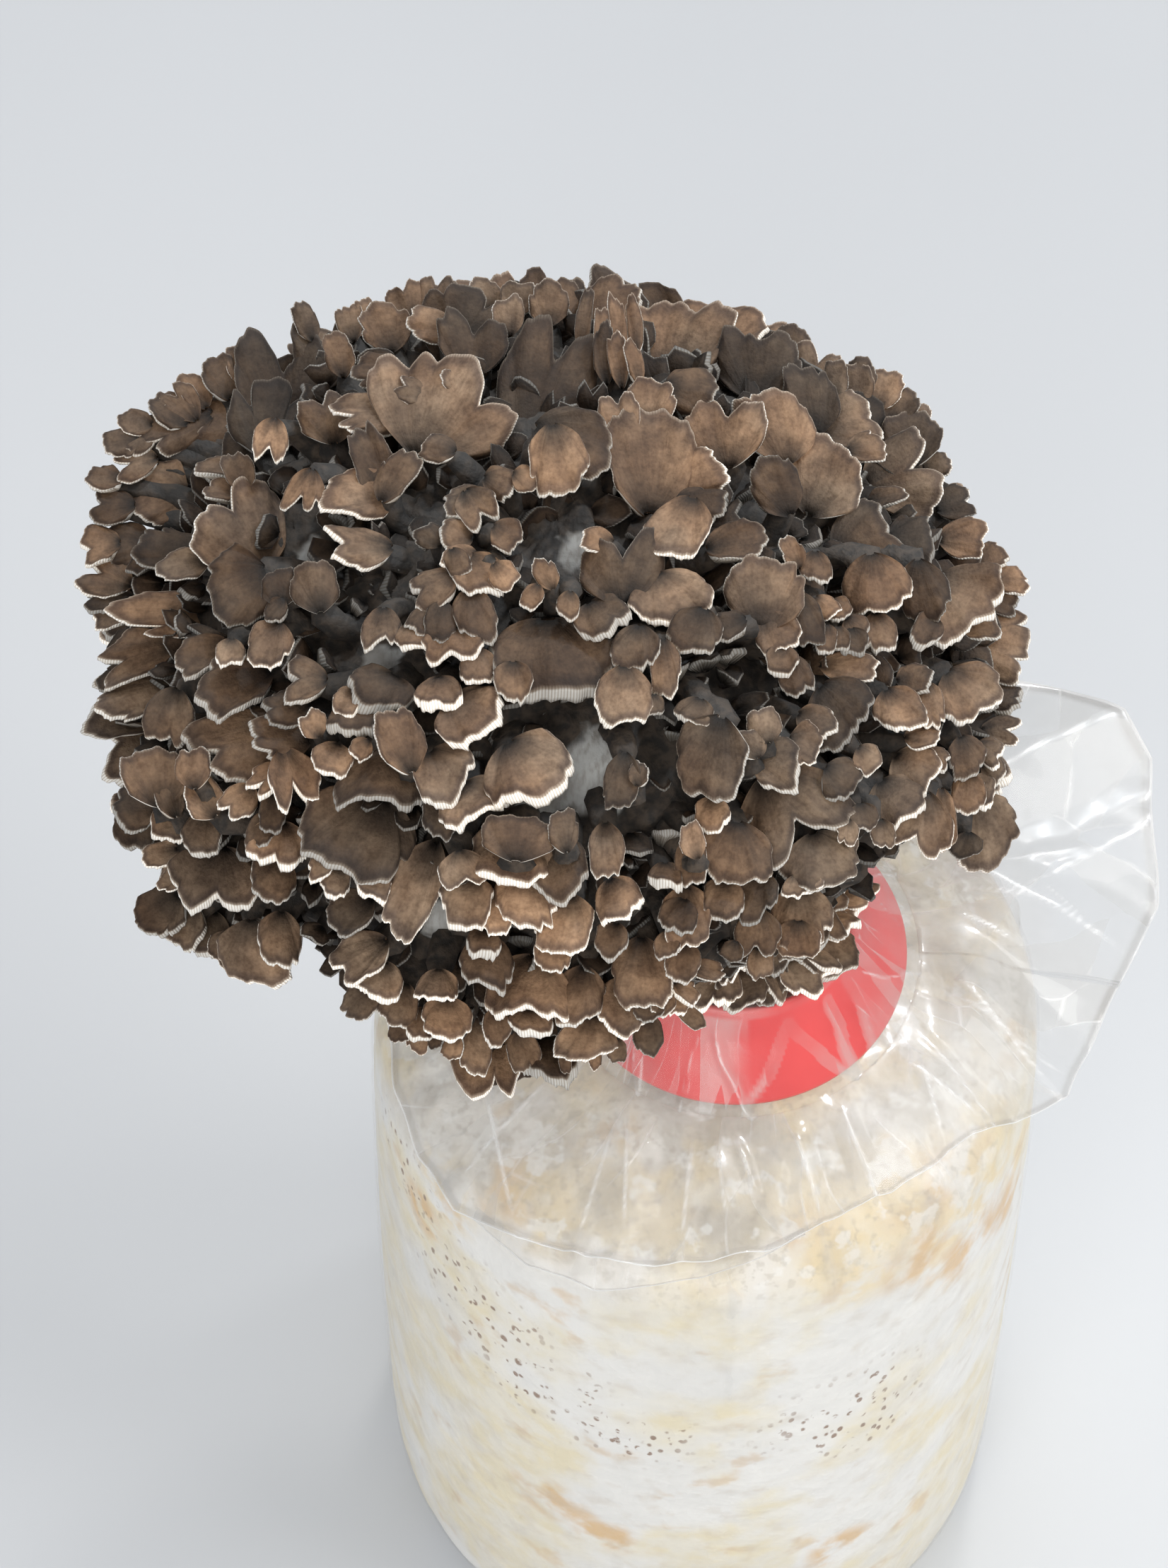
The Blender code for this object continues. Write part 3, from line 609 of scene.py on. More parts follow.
def creaseHeight(x, y):
    # a roof along each fold: its height times one minus the distance over the half width, rising
    # over the first sixth of its length; and how near the roof's ridge is, from 0 to 1, which paints a
    # highlight along it
    total, ridge = np.zeros_like(x), np.zeros_like(x)
    for ax, ay, bx, by, high, wide in skirt["creases"]:
        along = np.array([bx - ax, by - ay], float)
        t = np.clip(((x - ax) * along[0] + (y - ay) * along[1]) / (along @ along), 0, 1)
        gap = np.hypot(x - ax - t * along[0], y - ay - t * along[1])
        fade = np.sqrt(np.clip(t * 6, 0, 1))
        total = np.maximum(total, high * np.clip(1 - gap / wide, 0, 1) * fade)
        ridge = np.maximum(ridge, np.clip(1 - gap / skirt["ridge"], 0, 1) * fade * np.clip(5 - 5 * t, 0, 1))
    return total, ridge


def cornered(places, bearing):
    # straight stretches between corners in polar form: r = r1 r2 sin(b - a) over
    # (r1 sin(x - a) + r2 sin(b - x)); the height runs evenly from corner to corner
    places = np.array(places, float)
    turn = (bearing - places[0, 0]) % 360 + places[0, 0]
    at = np.clip(np.searchsorted(places[:, 0], turn, side="right") - 1, 0, len(places) - 2)
    low, high = places[at], places[at + 1]
    whole = np.sin((high[:, 0] - low[:, 0]) * deg)
    radius = low[:, 1] * high[:, 1] * whole / (
        low[:, 1] * np.sin((turn - low[:, 0]) * deg) + high[:, 1] * np.sin((high[:, 0] - turn) * deg)
    )
    part = (turn - low[:, 0]) / (high[:, 0] - low[:, 0])
    return radius, low[:, 2] + (high[:, 2] - low[:, 2]) * part


def wrinkled(x, y, kinds):
    # wrinkles of several kinds together: the seed, size and height of each
    return sum(wrinkles(x, y, *kind) for kind in kinds)


def apart(turn, bearing):
    # how many degrees lie between a direction and a bearing
    return np.abs((turn / deg - bearing + 180) % 360 - 180)


def skirtShell():
    # from the collar's foot to the free edge, arched, folded and wrinkled more towards the edge
    turn = np.arange(skirt["segments"]) * 2 * math.pi / skirt["segments"]
    corners = skirt["edge"] + ((skirt["edge"][0][0] + 360, *skirt["edge"][0][1:]),)
    edge, edgeHeight = cornered(corners, turn / deg)
    radius, height = bag["neck"][-1]
    share = np.linspace(0, 1, skirt["rows"])[:, None] ** 0.9
    edge = edge * (1 + sines(turn, skirt["flutter"], (0, 0)))
    startX, startY = radius * np.cos(turn) + bag["collarX"], radius * np.sin(turn)
    x = startX + (edge * np.cos(turn) - startX) * share
    y = startY + (edge * np.sin(turn) - startY) * share
    z = height + (edgeHeight - height) * share + skirt["arch"] * np.sin(math.pi * share)
    loose = smoothStep(share * 2.5)
    folds, ridge = creaseHeight(x, y)
    z = z + loose * (folds + wrinkled(x, y, skirt["wrinkles"]))
    z[-1] += skirt["hem"]
    across, along = turn[None] * skirt["mapRadius"], radius + (edge - radius) * share
    place = np.stack(np.broadcast_arrays(across, along), -1) * mm
    tone = skirt["tone"] + (1 - skirt["tone"]) * loose * ridge
    return loft(np.stack([x, y, z], -1), place, share ** skirt["edgeLine"], tone, False)


def underFlap():
    # the bag's other wall: a strip from under the skirt out to its own edge
    low, high = skirt["underEdge"][0][0], skirt["underEdge"][-1][0]
    rows, columns = skirt["underGrid"]
    turn = np.linspace(low, high, columns)
    edge, edgeHeight = cornered(skirt["underEdge"], turn)
    root = np.minimum(cornered(skirt["edge"], turn)[0], edge) - skirt["underlap"]
    share = np.linspace(0, 1, rows)[:, None]
    radius = root + (edge - root) * share
    x, y = radius * np.cos(turn * deg), radius * np.sin(turn * deg)
    z = skirt["underFrom"] + (edgeHeight - skirt["underFrom"]) * share + 0.8 * np.sin(math.pi * share)
    z = z + share * wrinkled(x, y, skirt["underWrinkles"]) - (1 - share) * 0.4
    place = np.stack(np.broadcast_arrays(turn[None] * deg * skirt["mapRadius"] * mm + 1, radius * mm), -1)
    part = loft(np.stack([x, y, z], -1), place, share ** 30, skirt["tone"], False)
    part["faces"] = part["faces"].reshape(rows - 1, columns, 4)[:, :-1].reshape(-1, 4)
    return part


def thicken(piece):
    # the film's two faces; it is so clear that it neither casts a shadow nor holds back soft light
    wall = piece.modifiers.new("filmWall", "SOLIDIFY")
    wall.thickness = bag["filmThickness"] * mm
    wall.offset = 0
    piece.visible_shadow = piece.visible_diffuse = False


def bagFilm(material):
    # the wall and shoulder, up through the collar and over its lip; then the skirt and the flap
    wall, neck = (resampled(rounded(bag[key]), step) for key, step in (("wall", 3.0), ("neck", 1.2)))
    grid = revolved(np.concatenate([wall, neck]), bag["segments"])
    turn = np.arctan2(grid[..., 1], grid[..., 0])
    radius = np.hypot(grid[..., 0], grid[..., 1])
    # over the collar each pleat stands out from the cone, and its ridge is a painted highlight line
    onCone = (grid[..., 2] > bag["coneFoot"]) * smoothStep((radius - bag["coneTop"]) / 2)
    middle, side, fading = bag["clearCone"]
    loose = bag["looseTone"] * smoothStep((apart(turn, middle) - side) / fading)
    tone = np.where(onCone > 0, loose, bag["tautTone"])
    for k, (bearing, high) in enumerate(bag["pleats"]):
        slant = bearing + 12 * math.sin(2.4 * k) * (radius - 30) / 6 + 0.5 * np.sin(radius + k)
        gap = apart(turn, slant) * deg * radius / bag["pleatWidth"]
        near = onCone * np.clip(1 - gap, 0, 1)
        grid[..., :2] *= (1 + high * near / np.maximum(radius, 1))[..., None]
        ridgeHighlight = onCone * np.clip(1.02 - 0.9 * gap, 0, 1) * min(0.66 + 0.34 * high, 1)
        tone = np.maximum(tone, ridgeHighlight)
    grid = neckShift(grid)
    turn = np.arctan2(grid[..., 1], grid[..., 0])
    radius, height = np.hypot(grid[..., 0], grid[..., 1]), grid[..., 2]
    onWall = smoothStep((height - 14) / 20) * smoothStep((height < bag["coneFoot"]) * (radius - 40) / 12)
    broad, fine = bag["swell"]
    across = turn * bag["mapRadius"]
    swell = wrinkles(across, height, *broad) + wrinkles(across, height * 0.4, *fine)
    # upright folds: a roof on the wall, with a painted highlight along its ridge
    for bearing, top, foot, high, wide in bag["folds"]:
        gap = apart(turn, bearing) * deg * radius
        fade = smoothStep((height - foot) / 20) * smoothStep((top + 6 - height) / 6)
        swell = np.maximum(swell, high * np.clip(1 - gap / wide, 0, 1) * fade)
        tone = np.maximum(tone, 0.9 * np.clip(1 - gap / 1.5, 0, 1) * fade * min(high, 1) * onWall)
    grid[..., :2] *= (1 + onWall * np.maximum(swell, -0.1) / np.maximum(radius, 1))[..., None]
    place = np.stack([across * mm + 2, height * mm], -1)
    thicken(makePiece("bagFilm", [loft(grid, place, 0.0, tone, False)], material, ["grow_bag"]))
    thicken(makePiece("looseSkirt", [skirtShell(), underFlap()], material))


block = {
    # radius and height of the top, inside the film; and how rough the sides and the top are
    "top": (
        (64.3, 202.2), (60.0, 206.2), (53.2, 209.3), (43.4, 213.2), (34, 216.6), (26, 218.4), (20, 219),
        (0.4, 219.3),
    ),
    "inset": 0.55, "sides": ((8, 14, 0.14), (9, 5, 0.06)), "rough": (10, 11, 0.5),
}


def substrateBlock(material):
    # the bag's own form set in from the film, lumpy, with a rough top
    inset = block["inset"]
    outer = [(max(r - inset, 0.4), h + (inset if h < 6 else 0)) for r, h in bag["wall"][:11]]
    grid = neckShift(revolved(resampled(rounded(outer + list(block["top"])), 2.5), bag["segments"]))
    turn = np.arctan2(grid[..., 1], grid[..., 0])
    rough = wrinkled(turn * bag["mapRadius"], grid[..., 2], block["sides"])
    onTop = smoothStep((grid[..., 2] - 200) / 6)
    radius = np.hypot(grid[..., 0], grid[..., 1])
    grid[..., :2] *= (1 + (1 - onTop) * np.minimum(rough, 0.1) / np.maximum(radius, 20))[..., None]
    hollows = np.abs(wrinkles(grid[..., 0], grid[..., 1], *block["rough"]))
    grid[..., 2] -= onTop * hollows * smoothStep((radius - 20) / 10)
    makePiece("colonisedBlock", [loft(grid)], material, ["substrate_block"])


collar = {
    # radius and height round the ring's section
    "section": (
        (21.9, 239.2), (22.3, 240), (23.1, 240), (23.5, 239), (23.9, 236.4), (28.6, 229.9), (33.7, 223.1),
        (34, 222.3), (33.9, 221.5), (33.2, 221.2), (32.4, 221.6), (27.2, 228.4), (22.6, 233.9),
        (21.9, 235.2),
    ),
    "around": 128,
}


def neckCollar(material):
    # the moulded ring: its section turned once round the neck
    grid = revolved(np.array(collar["section"], float)[::-1], collar["around"])
    grid[..., 0] += bag["collarX"]
    part = loft(grid, closeEnds=False)
    # the last ring of points is joined to the first
    i = np.arange(collar["around"])
    k = (i + 1) % len(i)
    last = grid.size // 3 - len(i)
    part["faces"] = np.concatenate([part["faces"], np.stack([last + i, last + k, k, i], -1)])
    makePiece("neckRing", [part], material, ["neck_collar"])


view = {
    # the photograph looks down at 60 degrees from the front; its middle pixel and how many pixels
    # a millimetre takes at a distance of one millimetre
    "place": (-0.0246, -0.4904, 1.1366), "down": 60.0, "lens": 120.9, "sensor": 36.0,
    "middle": (826, 1109), "pixels": 7450.0, "clip": (0.01, 20),
}

head = {
    "centre": (-30.0, 28.5, 280.0), "radii": (88.0, 81.5, 66.0), "fork": (-12.0, 12.0, 258.0),
    # the main branches and where each points on the head: bearing, elevation
    "branches": {
        "branch_crown": (300, 82), "branch_back": (95, 40), "branch_back_right": (36, 38),
        "branch_right": (358, 22), "branch_front_right": (330, 42),
        "branch_front_low_right": (300, 25), "branch_front": (268, 22),
        "branch_front_left": (242, 30), "branch_left": (208, 22), "branch_back_left": (160, 35),
    },
}

cap = {
    "turn": 118.0, "centre": 0.52, "bend": 0.16, "notch": 0.27, "spoon": 0.70, "fullness": 0.84,
    "rim": 2.6, "rimShare": (0.62, 1.10), "heel": 4.4, "spacing": 0.55, "fringe": 0.34, "proud": 0.03,
    # waves along the margin and across it, each with its pace and height; clefts of the margin; how
    # far its sides are raised and its edge droops
    "margin": ((2.1, 0.050), (5, 0.032), (11, 0.020), (23, 0.009)),
    "waves": ((2.1, 0.085), (4.6, 0.046), (11, 0.012)), "raised": 0.20, "droop": 0.045,
    "cleftPlaces": (-0.75, 0.75), "cleftDepths": (-0.10, 0.16), "cleftWidth": 0.07,
    "rows": (0.05, 0.18, 0.38, 0.57, 0.74, 0.87, 0.95, 1.0), "hiddenSpacing": 0.85,
    # the rim's depth for the tips of the picture's upper and lower rows, and out of sight
    "rimRows": ((620, 1000), (0.60, 1.06)), "hiddenRim": 0.72,
    "crumbColumns": 9, "crumbRows": (0.05, 1.0), "crumbRim": 0.8,
    # how single caps differ: roll in degrees, sideways sweep and how far the sides curl up; how far
    # a cap in view is turned up from facing the viewer, in degrees; and how much wider and longer
    # it is than the part of it that shows
    "roll": 24.0, "sweep": 0.30, "curl": (-0.5, 0.8), "upward": 24.0, "larger": (1.13, 1.10),
    "mostLean": 50,
}

# The caps in view, one each, as the photograph shows them: where the tip is and where the heel is
# in its 1652 x 2218 pixels, the width in pixels, how many degrees the tip leans towards the
# viewer, and how many lobes where not one. The tip sits on the head's ellipsoid, and the heel inside it.
seenCaps = (
    # upper left
    (400, 460, 400, 600, 125, 0, 2), (375, 528, 378, 640, 102, -5, 3), (268, 600, 350, 612, 88, 12, 2),
    (195, 600, 290, 592, 78, 12, 3), (378, 655, 385, 600, 44, 35, 2), (193, 690, 255, 700, 88, 20),
    (310, 690, 365, 800, 132, 5, 2), (145, 765, 205, 770, 58, 20), (190, 775, 290, 792, 62, 8),
    (515, 600, 545, 705, 52, 0), (462, 690, 552, 706, 78, 24), (575, 635, 545, 705, 48, 5),
    (465, 775, 542, 780, 62, 28, 2), (540, 428, 550, 495, 66, 0), (500, 515, 562, 530, 52, 15),
    (463, 598, 572, 590, 66, 14, 2), (455, 442, 470, 560, 78, 0, 2), (480, 470, 486, 530, 40, 0),
    (460, 555, 470, 622, 78, 5, 2), (422, 725, 440, 670, 52, 18, 2), (122, 680, 168, 680, 36, 10),
    (158, 662, 216, 652, 48, 15, 2), (172, 625, 216, 614, 42, 15), (147, 630, 192, 625, 42, 10),
    (168, 595, 212, 602, 36, 5), (300, 503, 322, 562, 46, 0), (265, 528, 290, 575, 38, 0),
    (240, 540, 276, 592, 44, 0, 2), (213, 562, 260, 602, 52, 0, 2), (340, 490, 350, 542, 42, 0),
    (112, 770, 165, 772, 58, 8, 2), (127, 715, 185, 718, 52, 8, 2), (287, 690, 332, 700, 30, 10),
    (275, 660, 332, 668, 27, 10), (335, 635, 345, 692, 38, 0), (425, 425, 440, 480, 30, 0),
    (486, 425, 500, 480, 34, 0, 2), (512, 420, 528, 470, 30, 5),
    # the top
    (655, 510, 600, 640, 205, -4, 3), (795, 437, 750, 650, 122, -8, 2), (857, 640, 765, 612, 98, 16),
    (800, 695, 780, 610, 76, 18), (925, 570, 915, 722, 120, -6, 2), (1021, 645, 950, 692, 70, 24),
    (1028, 708, 965, 712, 50, 20), (945, 783, 978, 715, 76, 34), (975, 412, 945, 548, 128, -8, 2),
    (1075, 460, 1070, 562, 114, -5, 2), (925, 532, 913, 602, 62, 0), (1014, 545, 948, 552, 66, 14),
    (680, 436, 665, 528, 92, -4, 2), (615, 385, 610, 452, 58, 0, 2), (665, 402, 648, 472, 104, -2, 3),
    (575, 455, 642, 470, 46, 18), (680, 392, 690, 442, 38, 0), (735, 394, 735, 442, 54, 0, 2),
    (775, 398, 775, 458, 52, 0), (712, 417, 720, 472, 40, 0), (825, 407, 822, 500, 20, -8),
    (855, 430, 848, 510, 20, -8), (877, 417, 872, 515, 24, -8), (903, 420, 900, 500, 21, -8),
    (843, 455, 858, 540, 26, -4), (872, 466, 880, 545, 25, -4), (890, 480, 902, 540, 22, -4),
    (862, 552, 882, 625, 52, 0, 2), (1020, 558, 1030, 655, 104, 0, 2), (570, 395, 580, 450, 52, 0, 2),
    (822, 757, 862, 768, 32, 20), (870, 750, 880, 850, 116, 0, 2), (728, 684, 690, 678, 48, 32, 2),
    (632, 710, 682, 714, 54, 22), (688, 738, 662, 700, 56, 38, 2), (622, 755, 662, 762, 42, 24),
    (627, 787, 668, 785, 32, 26), (760, 682, 728, 672, 36, 14), (735, 765, 700, 748, 44, 18),
    (598, 622, 640, 640, 40, 6), (560, 545, 600, 562, 40, 12, 2), (640, 520, 660, 560, 40, 4),
    # upper right
    (1095, 548, 1108, 650, 94, 0), (1078, 650, 1112, 722, 64, 12), (1195, 628, 1150, 722, 104, 4),
    (1150, 511, 1150, 612, 66, -2), (1237, 578, 1165, 612, 92, 10, 2), (1200, 509, 1200, 575, 64, -2),
    (1285, 583, 1290, 655, 78, -2), (1328, 655, 1235, 690, 122, 12, 2), (1280, 696, 1236, 710, 27, 26),
    (1262, 742, 1190, 782, 104, 12), (1318, 768, 1262, 768, 98, 16), (1150, 820, 1154, 786, 40, 42),
    (1080, 764, 1008, 780, 58, 14), (1376, 700, 1330, 722, 48, 8, 2), (1396, 756, 1336, 766, 58, 14, 2),
    (1422, 778, 1382, 800, 42, 8), (1225, 508, 1212, 562, 42, 0), (1262, 520, 1240, 578, 44, 0),
    (1290, 550, 1262, 602, 40, 0), (1312, 577, 1280, 622, 40, 0), (1342, 647, 1308, 662, 40, 10),
    (1165, 487, 1150, 545, 74, 0, 2), (1120, 458, 1108, 522, 52, 0), (1249, 620, 1204, 640, 42, 8),
    (1108, 762, 1128, 800, 30, 10), (1182, 508, 1180, 560, 34, 0), (1454, 815, 1410, 822, 40, 10),
    # the left side
    (112, 802, 178, 830, 62, 8, 2), (122, 845, 182, 848, 38, 8), (132, 876, 182, 866, 32, 20),
    (225, 804, 288, 796, 42, 14), (298, 848, 370, 812, 102, 12), (395, 805, 396, 855, 50, 0),
    (440, 794, 452, 862, 62, 0), (380, 876, 400, 850, 28, 16), (160, 888, 318, 872, 62, 16, 3),
    (138, 938, 238, 922, 74, 14, 2), (245, 936, 318, 920, 50, 16), (325, 942, 326, 908, 37, 26, 2),
    (140, 1004, 242, 974, 52, 22), (222, 1050, 252, 982, 64, 10), (368, 940, 392, 888, 58, 26),
    (279, 985, 372, 962, 78, 24), (283, 1082, 388, 1036, 104, 20, 2), (400, 958, 456, 966, 64, 12, 2),
    (375, 996, 432, 1000, 54, 16), (358, 1046, 428, 1050, 60, 22), (424, 1146, 400, 1072, 64, 28, 2),
    (354, 1116, 402, 1090, 42, 18, 2), (376, 1176, 388, 1128, 34, 22), (529, 988, 553, 962, 82, 50),
    (495, 1031, 502, 998, 58, 46), (548, 1000, 578, 1088, 58, 0), (543, 1136, 562, 1056, 128, 36),
    (652, 1112, 612, 1072, 84, 36), (681, 1022, 644, 998, 92, 46), (460, 1093, 476, 1058, 52, 32),
    (215, 1056, 226, 1135, 84, 0), (162, 1132, 222, 1142, 74, 6), (225, 1090, 246, 1152, 40, 2),
    (266, 1108, 302, 1152, 52, 4), (325, 1156, 352, 1118, 48, 26, 2), (270, 1055, 276, 1112, 44, 0),
    (476, 1002, 500, 980, 40, 30), (430, 1008, 450, 1040, 34, 10), (500, 1070, 520, 1050, 30, 20),
    # the middle
    (586, 846, 638, 818, 58, 22, 2), (688, 839, 664, 794, 62, 42), (725, 830, 700, 800, 38, 14),
    (579, 890, 616, 864, 37, 32), (614, 903, 626, 858, 42, 32), (673, 900, 665, 842, 54, 36),
    (640, 932, 641, 893, 76, 42, 2), (672, 963, 675, 924, 48, 38), (540, 916, 541, 868, 50, 36, 2),
    (580, 915, 580, 888, 42, 42), (783, 958, 775, 892, 168, 50), (725, 988, 725, 943, 50, 32),
    (620, 996, 620, 964, 58, 52, 2), (885, 1026, 880, 952, 70, 22), (892, 943, 906, 893, 60, 32),
    (863, 890, 838, 860, 72, 48), (963, 870, 932, 822, 104, 38), (976, 924, 995, 868, 64, 22),
    (946, 982, 940, 912, 40, 20), (1010, 890, 1052, 880, 42, 14), (976, 1021, 990, 993, 48, 32),
    (988, 1124, 1022, 1024, 96, 6), (880, 1149, 884, 1072, 44, 12), (766, 1112, 724, 1062, 118, 38),
    (683, 1152, 656, 1118, 92, 42), (616, 1181, 626, 1130, 48, 24), (735, 1150, 730, 1214, 92, -4),
    (790, 1144, 800, 1202, 38, 0), (1004, 1170, 1010, 1134, 47, 34), (762, 790, 780, 830, 30, 10),
    (745, 860, 760, 830, 26, 20), (800, 872, 806, 840, 30, 24), (930, 1010, 925, 985, 24, 20),
    (908, 1078, 902, 1110, 26, 0), (655, 812, 640, 780, 34, 24), (598, 742, 620, 770, 36, 12),
    # the right side
    (1090, 783, 1074, 884, 96, 2), (1120, 914, 1086, 880, 58, 30), (1150, 914, 1128, 846, 48, 20),
    (1176, 872, 1155, 848, 37, 16), (1198, 872, 1178, 852, 32, 16), (1242, 865, 1234, 792, 88, 20),
    (1308, 878, 1300, 798, 64, 6), (1376, 882, 1326, 830, 132, 36), (1438, 835, 1394, 840, 58, 14),
    (1222, 897, 1200, 878, 42, 26), (1250, 916, 1240, 873, 44, 32), (1210, 922, 1206, 893, 37, 32),
    (1170, 919, 1170, 888, 30, 32), (1190, 916, 1186, 890, 26, 32), (1463, 904, 1380, 908, 98, 8, 3),
    (1105, 949, 1106, 918, 42, 32), (1131, 981, 1120, 933, 42, 26), (1242, 948, 1168, 944, 40, 18),
    (1216, 1030, 1168, 978, 98, 24, 2), (1176, 1030, 1134, 1014, 48, 24), (1316, 954, 1274, 965, 42, 16),
    (1284, 1026, 1258, 983, 62, 32), (1316, 1026, 1310, 973, 42, 32), (1392, 1008, 1344, 958, 88, 16),
    (1446, 990, 1394, 985, 36, 24), (1444, 1030, 1394, 1035, 42, 14, 2), (1326, 1045, 1284, 1045, 32, 16),
    (1380, 1092, 1360, 1048, 52, 22), (1421, 1068, 1388, 1056, 37, 26, 2), (1421, 1096, 1392, 1084, 36, 18),
    (1318, 1106, 1274, 1074, 68, 26), (1343, 1076, 1312, 1066, 32, 18, 2), (1286, 1152, 1250, 1113, 84, 28),
    (1368, 1149, 1370, 1098, 44, 20), (1406, 1125, 1374, 1110, 42, 18), (1076, 999, 1086, 1048, 42, 0),
    (1128, 1072, 1068, 1070, 80, 18), (1162, 1060, 1120, 1048, 54, 10), (1408, 870, 1360, 880, 60, 12),
    (1055, 1030, 1070, 1070, 40, 4), (1300, 905, 1322, 880, 40, 44), (1240, 1085, 1216, 1060, 40, 14),
    # lower left
    (176, 1195, 216, 1128, 64, 16), (228, 1183, 251, 1152, 52, 36), (275, 1203, 291, 1158, 54, 26),
    (204, 1216, 247, 1204, 34, 16), (298, 1284, 312, 1212, 128, 32, 2), (366, 1261, 400, 1222, 64, 28),
    (386, 1217, 396, 1172, 84, 38, 2), (355, 1196, 380, 1158, 37, 26), (203, 1318, 252, 1272, 66, 6),
    (244, 1336, 276, 1288, 54, 12), (280, 1343, 301, 1298, 66, 28), (364, 1391, 360, 1308, 98, 10),
    (390, 1363, 396, 1298, 58, 22), (472, 1372, 542, 1338, 64, 12, 2), (467, 1310, 522, 1278, 56, 18),
    (482, 1238, 532, 1138, 142, 24), (558, 1320, 612, 1206, 66, 18), (531, 1408, 541, 1368, 60, 36),
    (500, 1442, 526, 1393, 48, 6), (551, 1450, 572, 1398, 50, 22), (562, 1477, 568, 1440, 27, 6),
    (588, 1491, 594, 1448, 32, 6), (590, 1469, 600, 1433, 40, 32), (626, 1469, 631, 1418, 62, 26),
    (620, 1413, 620, 1378, 52, 36), (451, 1242, 462, 1208, 32, 32), (521, 1263, 531, 1232, 47, 36),
    (470, 1263, 480, 1232, 37, 32), (224, 1250, 262, 1236, 28, 12), (310, 1365, 322, 1320, 44, 6),
    # lower front
    (712, 1240, 732, 1182, 112, 36), (802, 1259, 776, 1196, 78, 32), (858, 1244, 856, 1172, 44, 20),
    (885, 1291, 866, 1253, 64, 42), (940, 1246, 942, 1222, 42, 60), (733, 1309, 746, 1236, 78, 20),
    (650, 1303, 666, 1248, 70, 30), (708, 1321, 700, 1272, 36, 26), (660, 1256, 650, 1208, 62, 12),
    (794, 1348, 806, 1276, 76, 24), (860, 1352, 871, 1312, 42, 28), (775, 1375, 786, 1328, 46, 18),
    (679, 1391, 692, 1333, 70, 30), (680, 1347, 684, 1320, 42, 50), (733, 1438, 756, 1366, 114, 30, 2),
    (814, 1446, 826, 1378, 66, 26), (871, 1455, 882, 1393, 66, 26), (905, 1429, 910, 1336, 76, 14),
    (975, 1338, 970, 1262, 66, 18), (955, 1316, 966, 1278, 48, 32), (945, 1352, 946, 1322, 34, 28),
    (965, 1388, 966, 1338, 44, 20), (1021, 1298, 1026, 1248, 54, 28), (1034, 1254, 1040, 1172, 94, 18),
    (985, 1251, 976, 1192, 40, 22), (970, 1164, 986, 1212, 32, 0), (839, 1497, 835, 1443, 82, 20),
    (750, 1458, 750, 1432, 58, 38), (768, 1516, 774, 1464, 72, 62), (664, 1519, 676, 1442, 48, 14),
    (700, 1476, 700, 1432, 36, 20), (720, 1536, 714, 1478, 84, -4), (746, 1520, 735, 1462, 40, 8),
    (921, 1493, 915, 1438, 38, 6), (920, 1444, 921, 1408, 37, 18), (940, 1437, 938, 1398, 30, 18),
    (966, 1434, 956, 1398, 30, 18), (992, 1459, 960, 1423, 22, 6), (1024, 1383, 980, 1368, 26, 12),
    (986, 1414, 955, 1393, 27, 12), (870, 1504, 872, 1470, 27, 4), (840, 1512, 842, 1480, 18, 4),
    (796, 1517, 800, 1484, 18, 4), (636, 1500, 646, 1466, 26, 4), (612, 1484, 620, 1452, 20, 4),
    # low front to the right
    (1148, 1203, 1092, 1106, 165, 16, 2), (1172, 1252, 1150, 1186, 110, 12),
    (1066, 1300, 1076, 1243, 58, 30), (1136, 1340, 1130, 1262, 80, 20), (1126, 1356, 1130, 1306, 62, 6),
    (1140, 1266, 1128, 1240, 54, 20, 2), (1071, 1354, 1071, 1292, 64, 12, 2),
    (1077, 1387, 1072, 1343, 34, 4), (1030, 1360, 1041, 1333, 28, 4), (1200, 1195, 1200, 1162, 28, 10),
    (1250, 1200, 1246, 1162, 32, 10), (1294, 1209, 1310, 1128, 90, 8, 2), (1342, 1200, 1330, 1122, 32, 6),
    (1412, 1221, 1374, 1132, 90, -2), (1366, 1214, 1370, 1180, 40, 8), (1212, 1112, 1170, 1090, 60, 8),
    (1225, 1175, 1216, 1140, 40, 14),
)

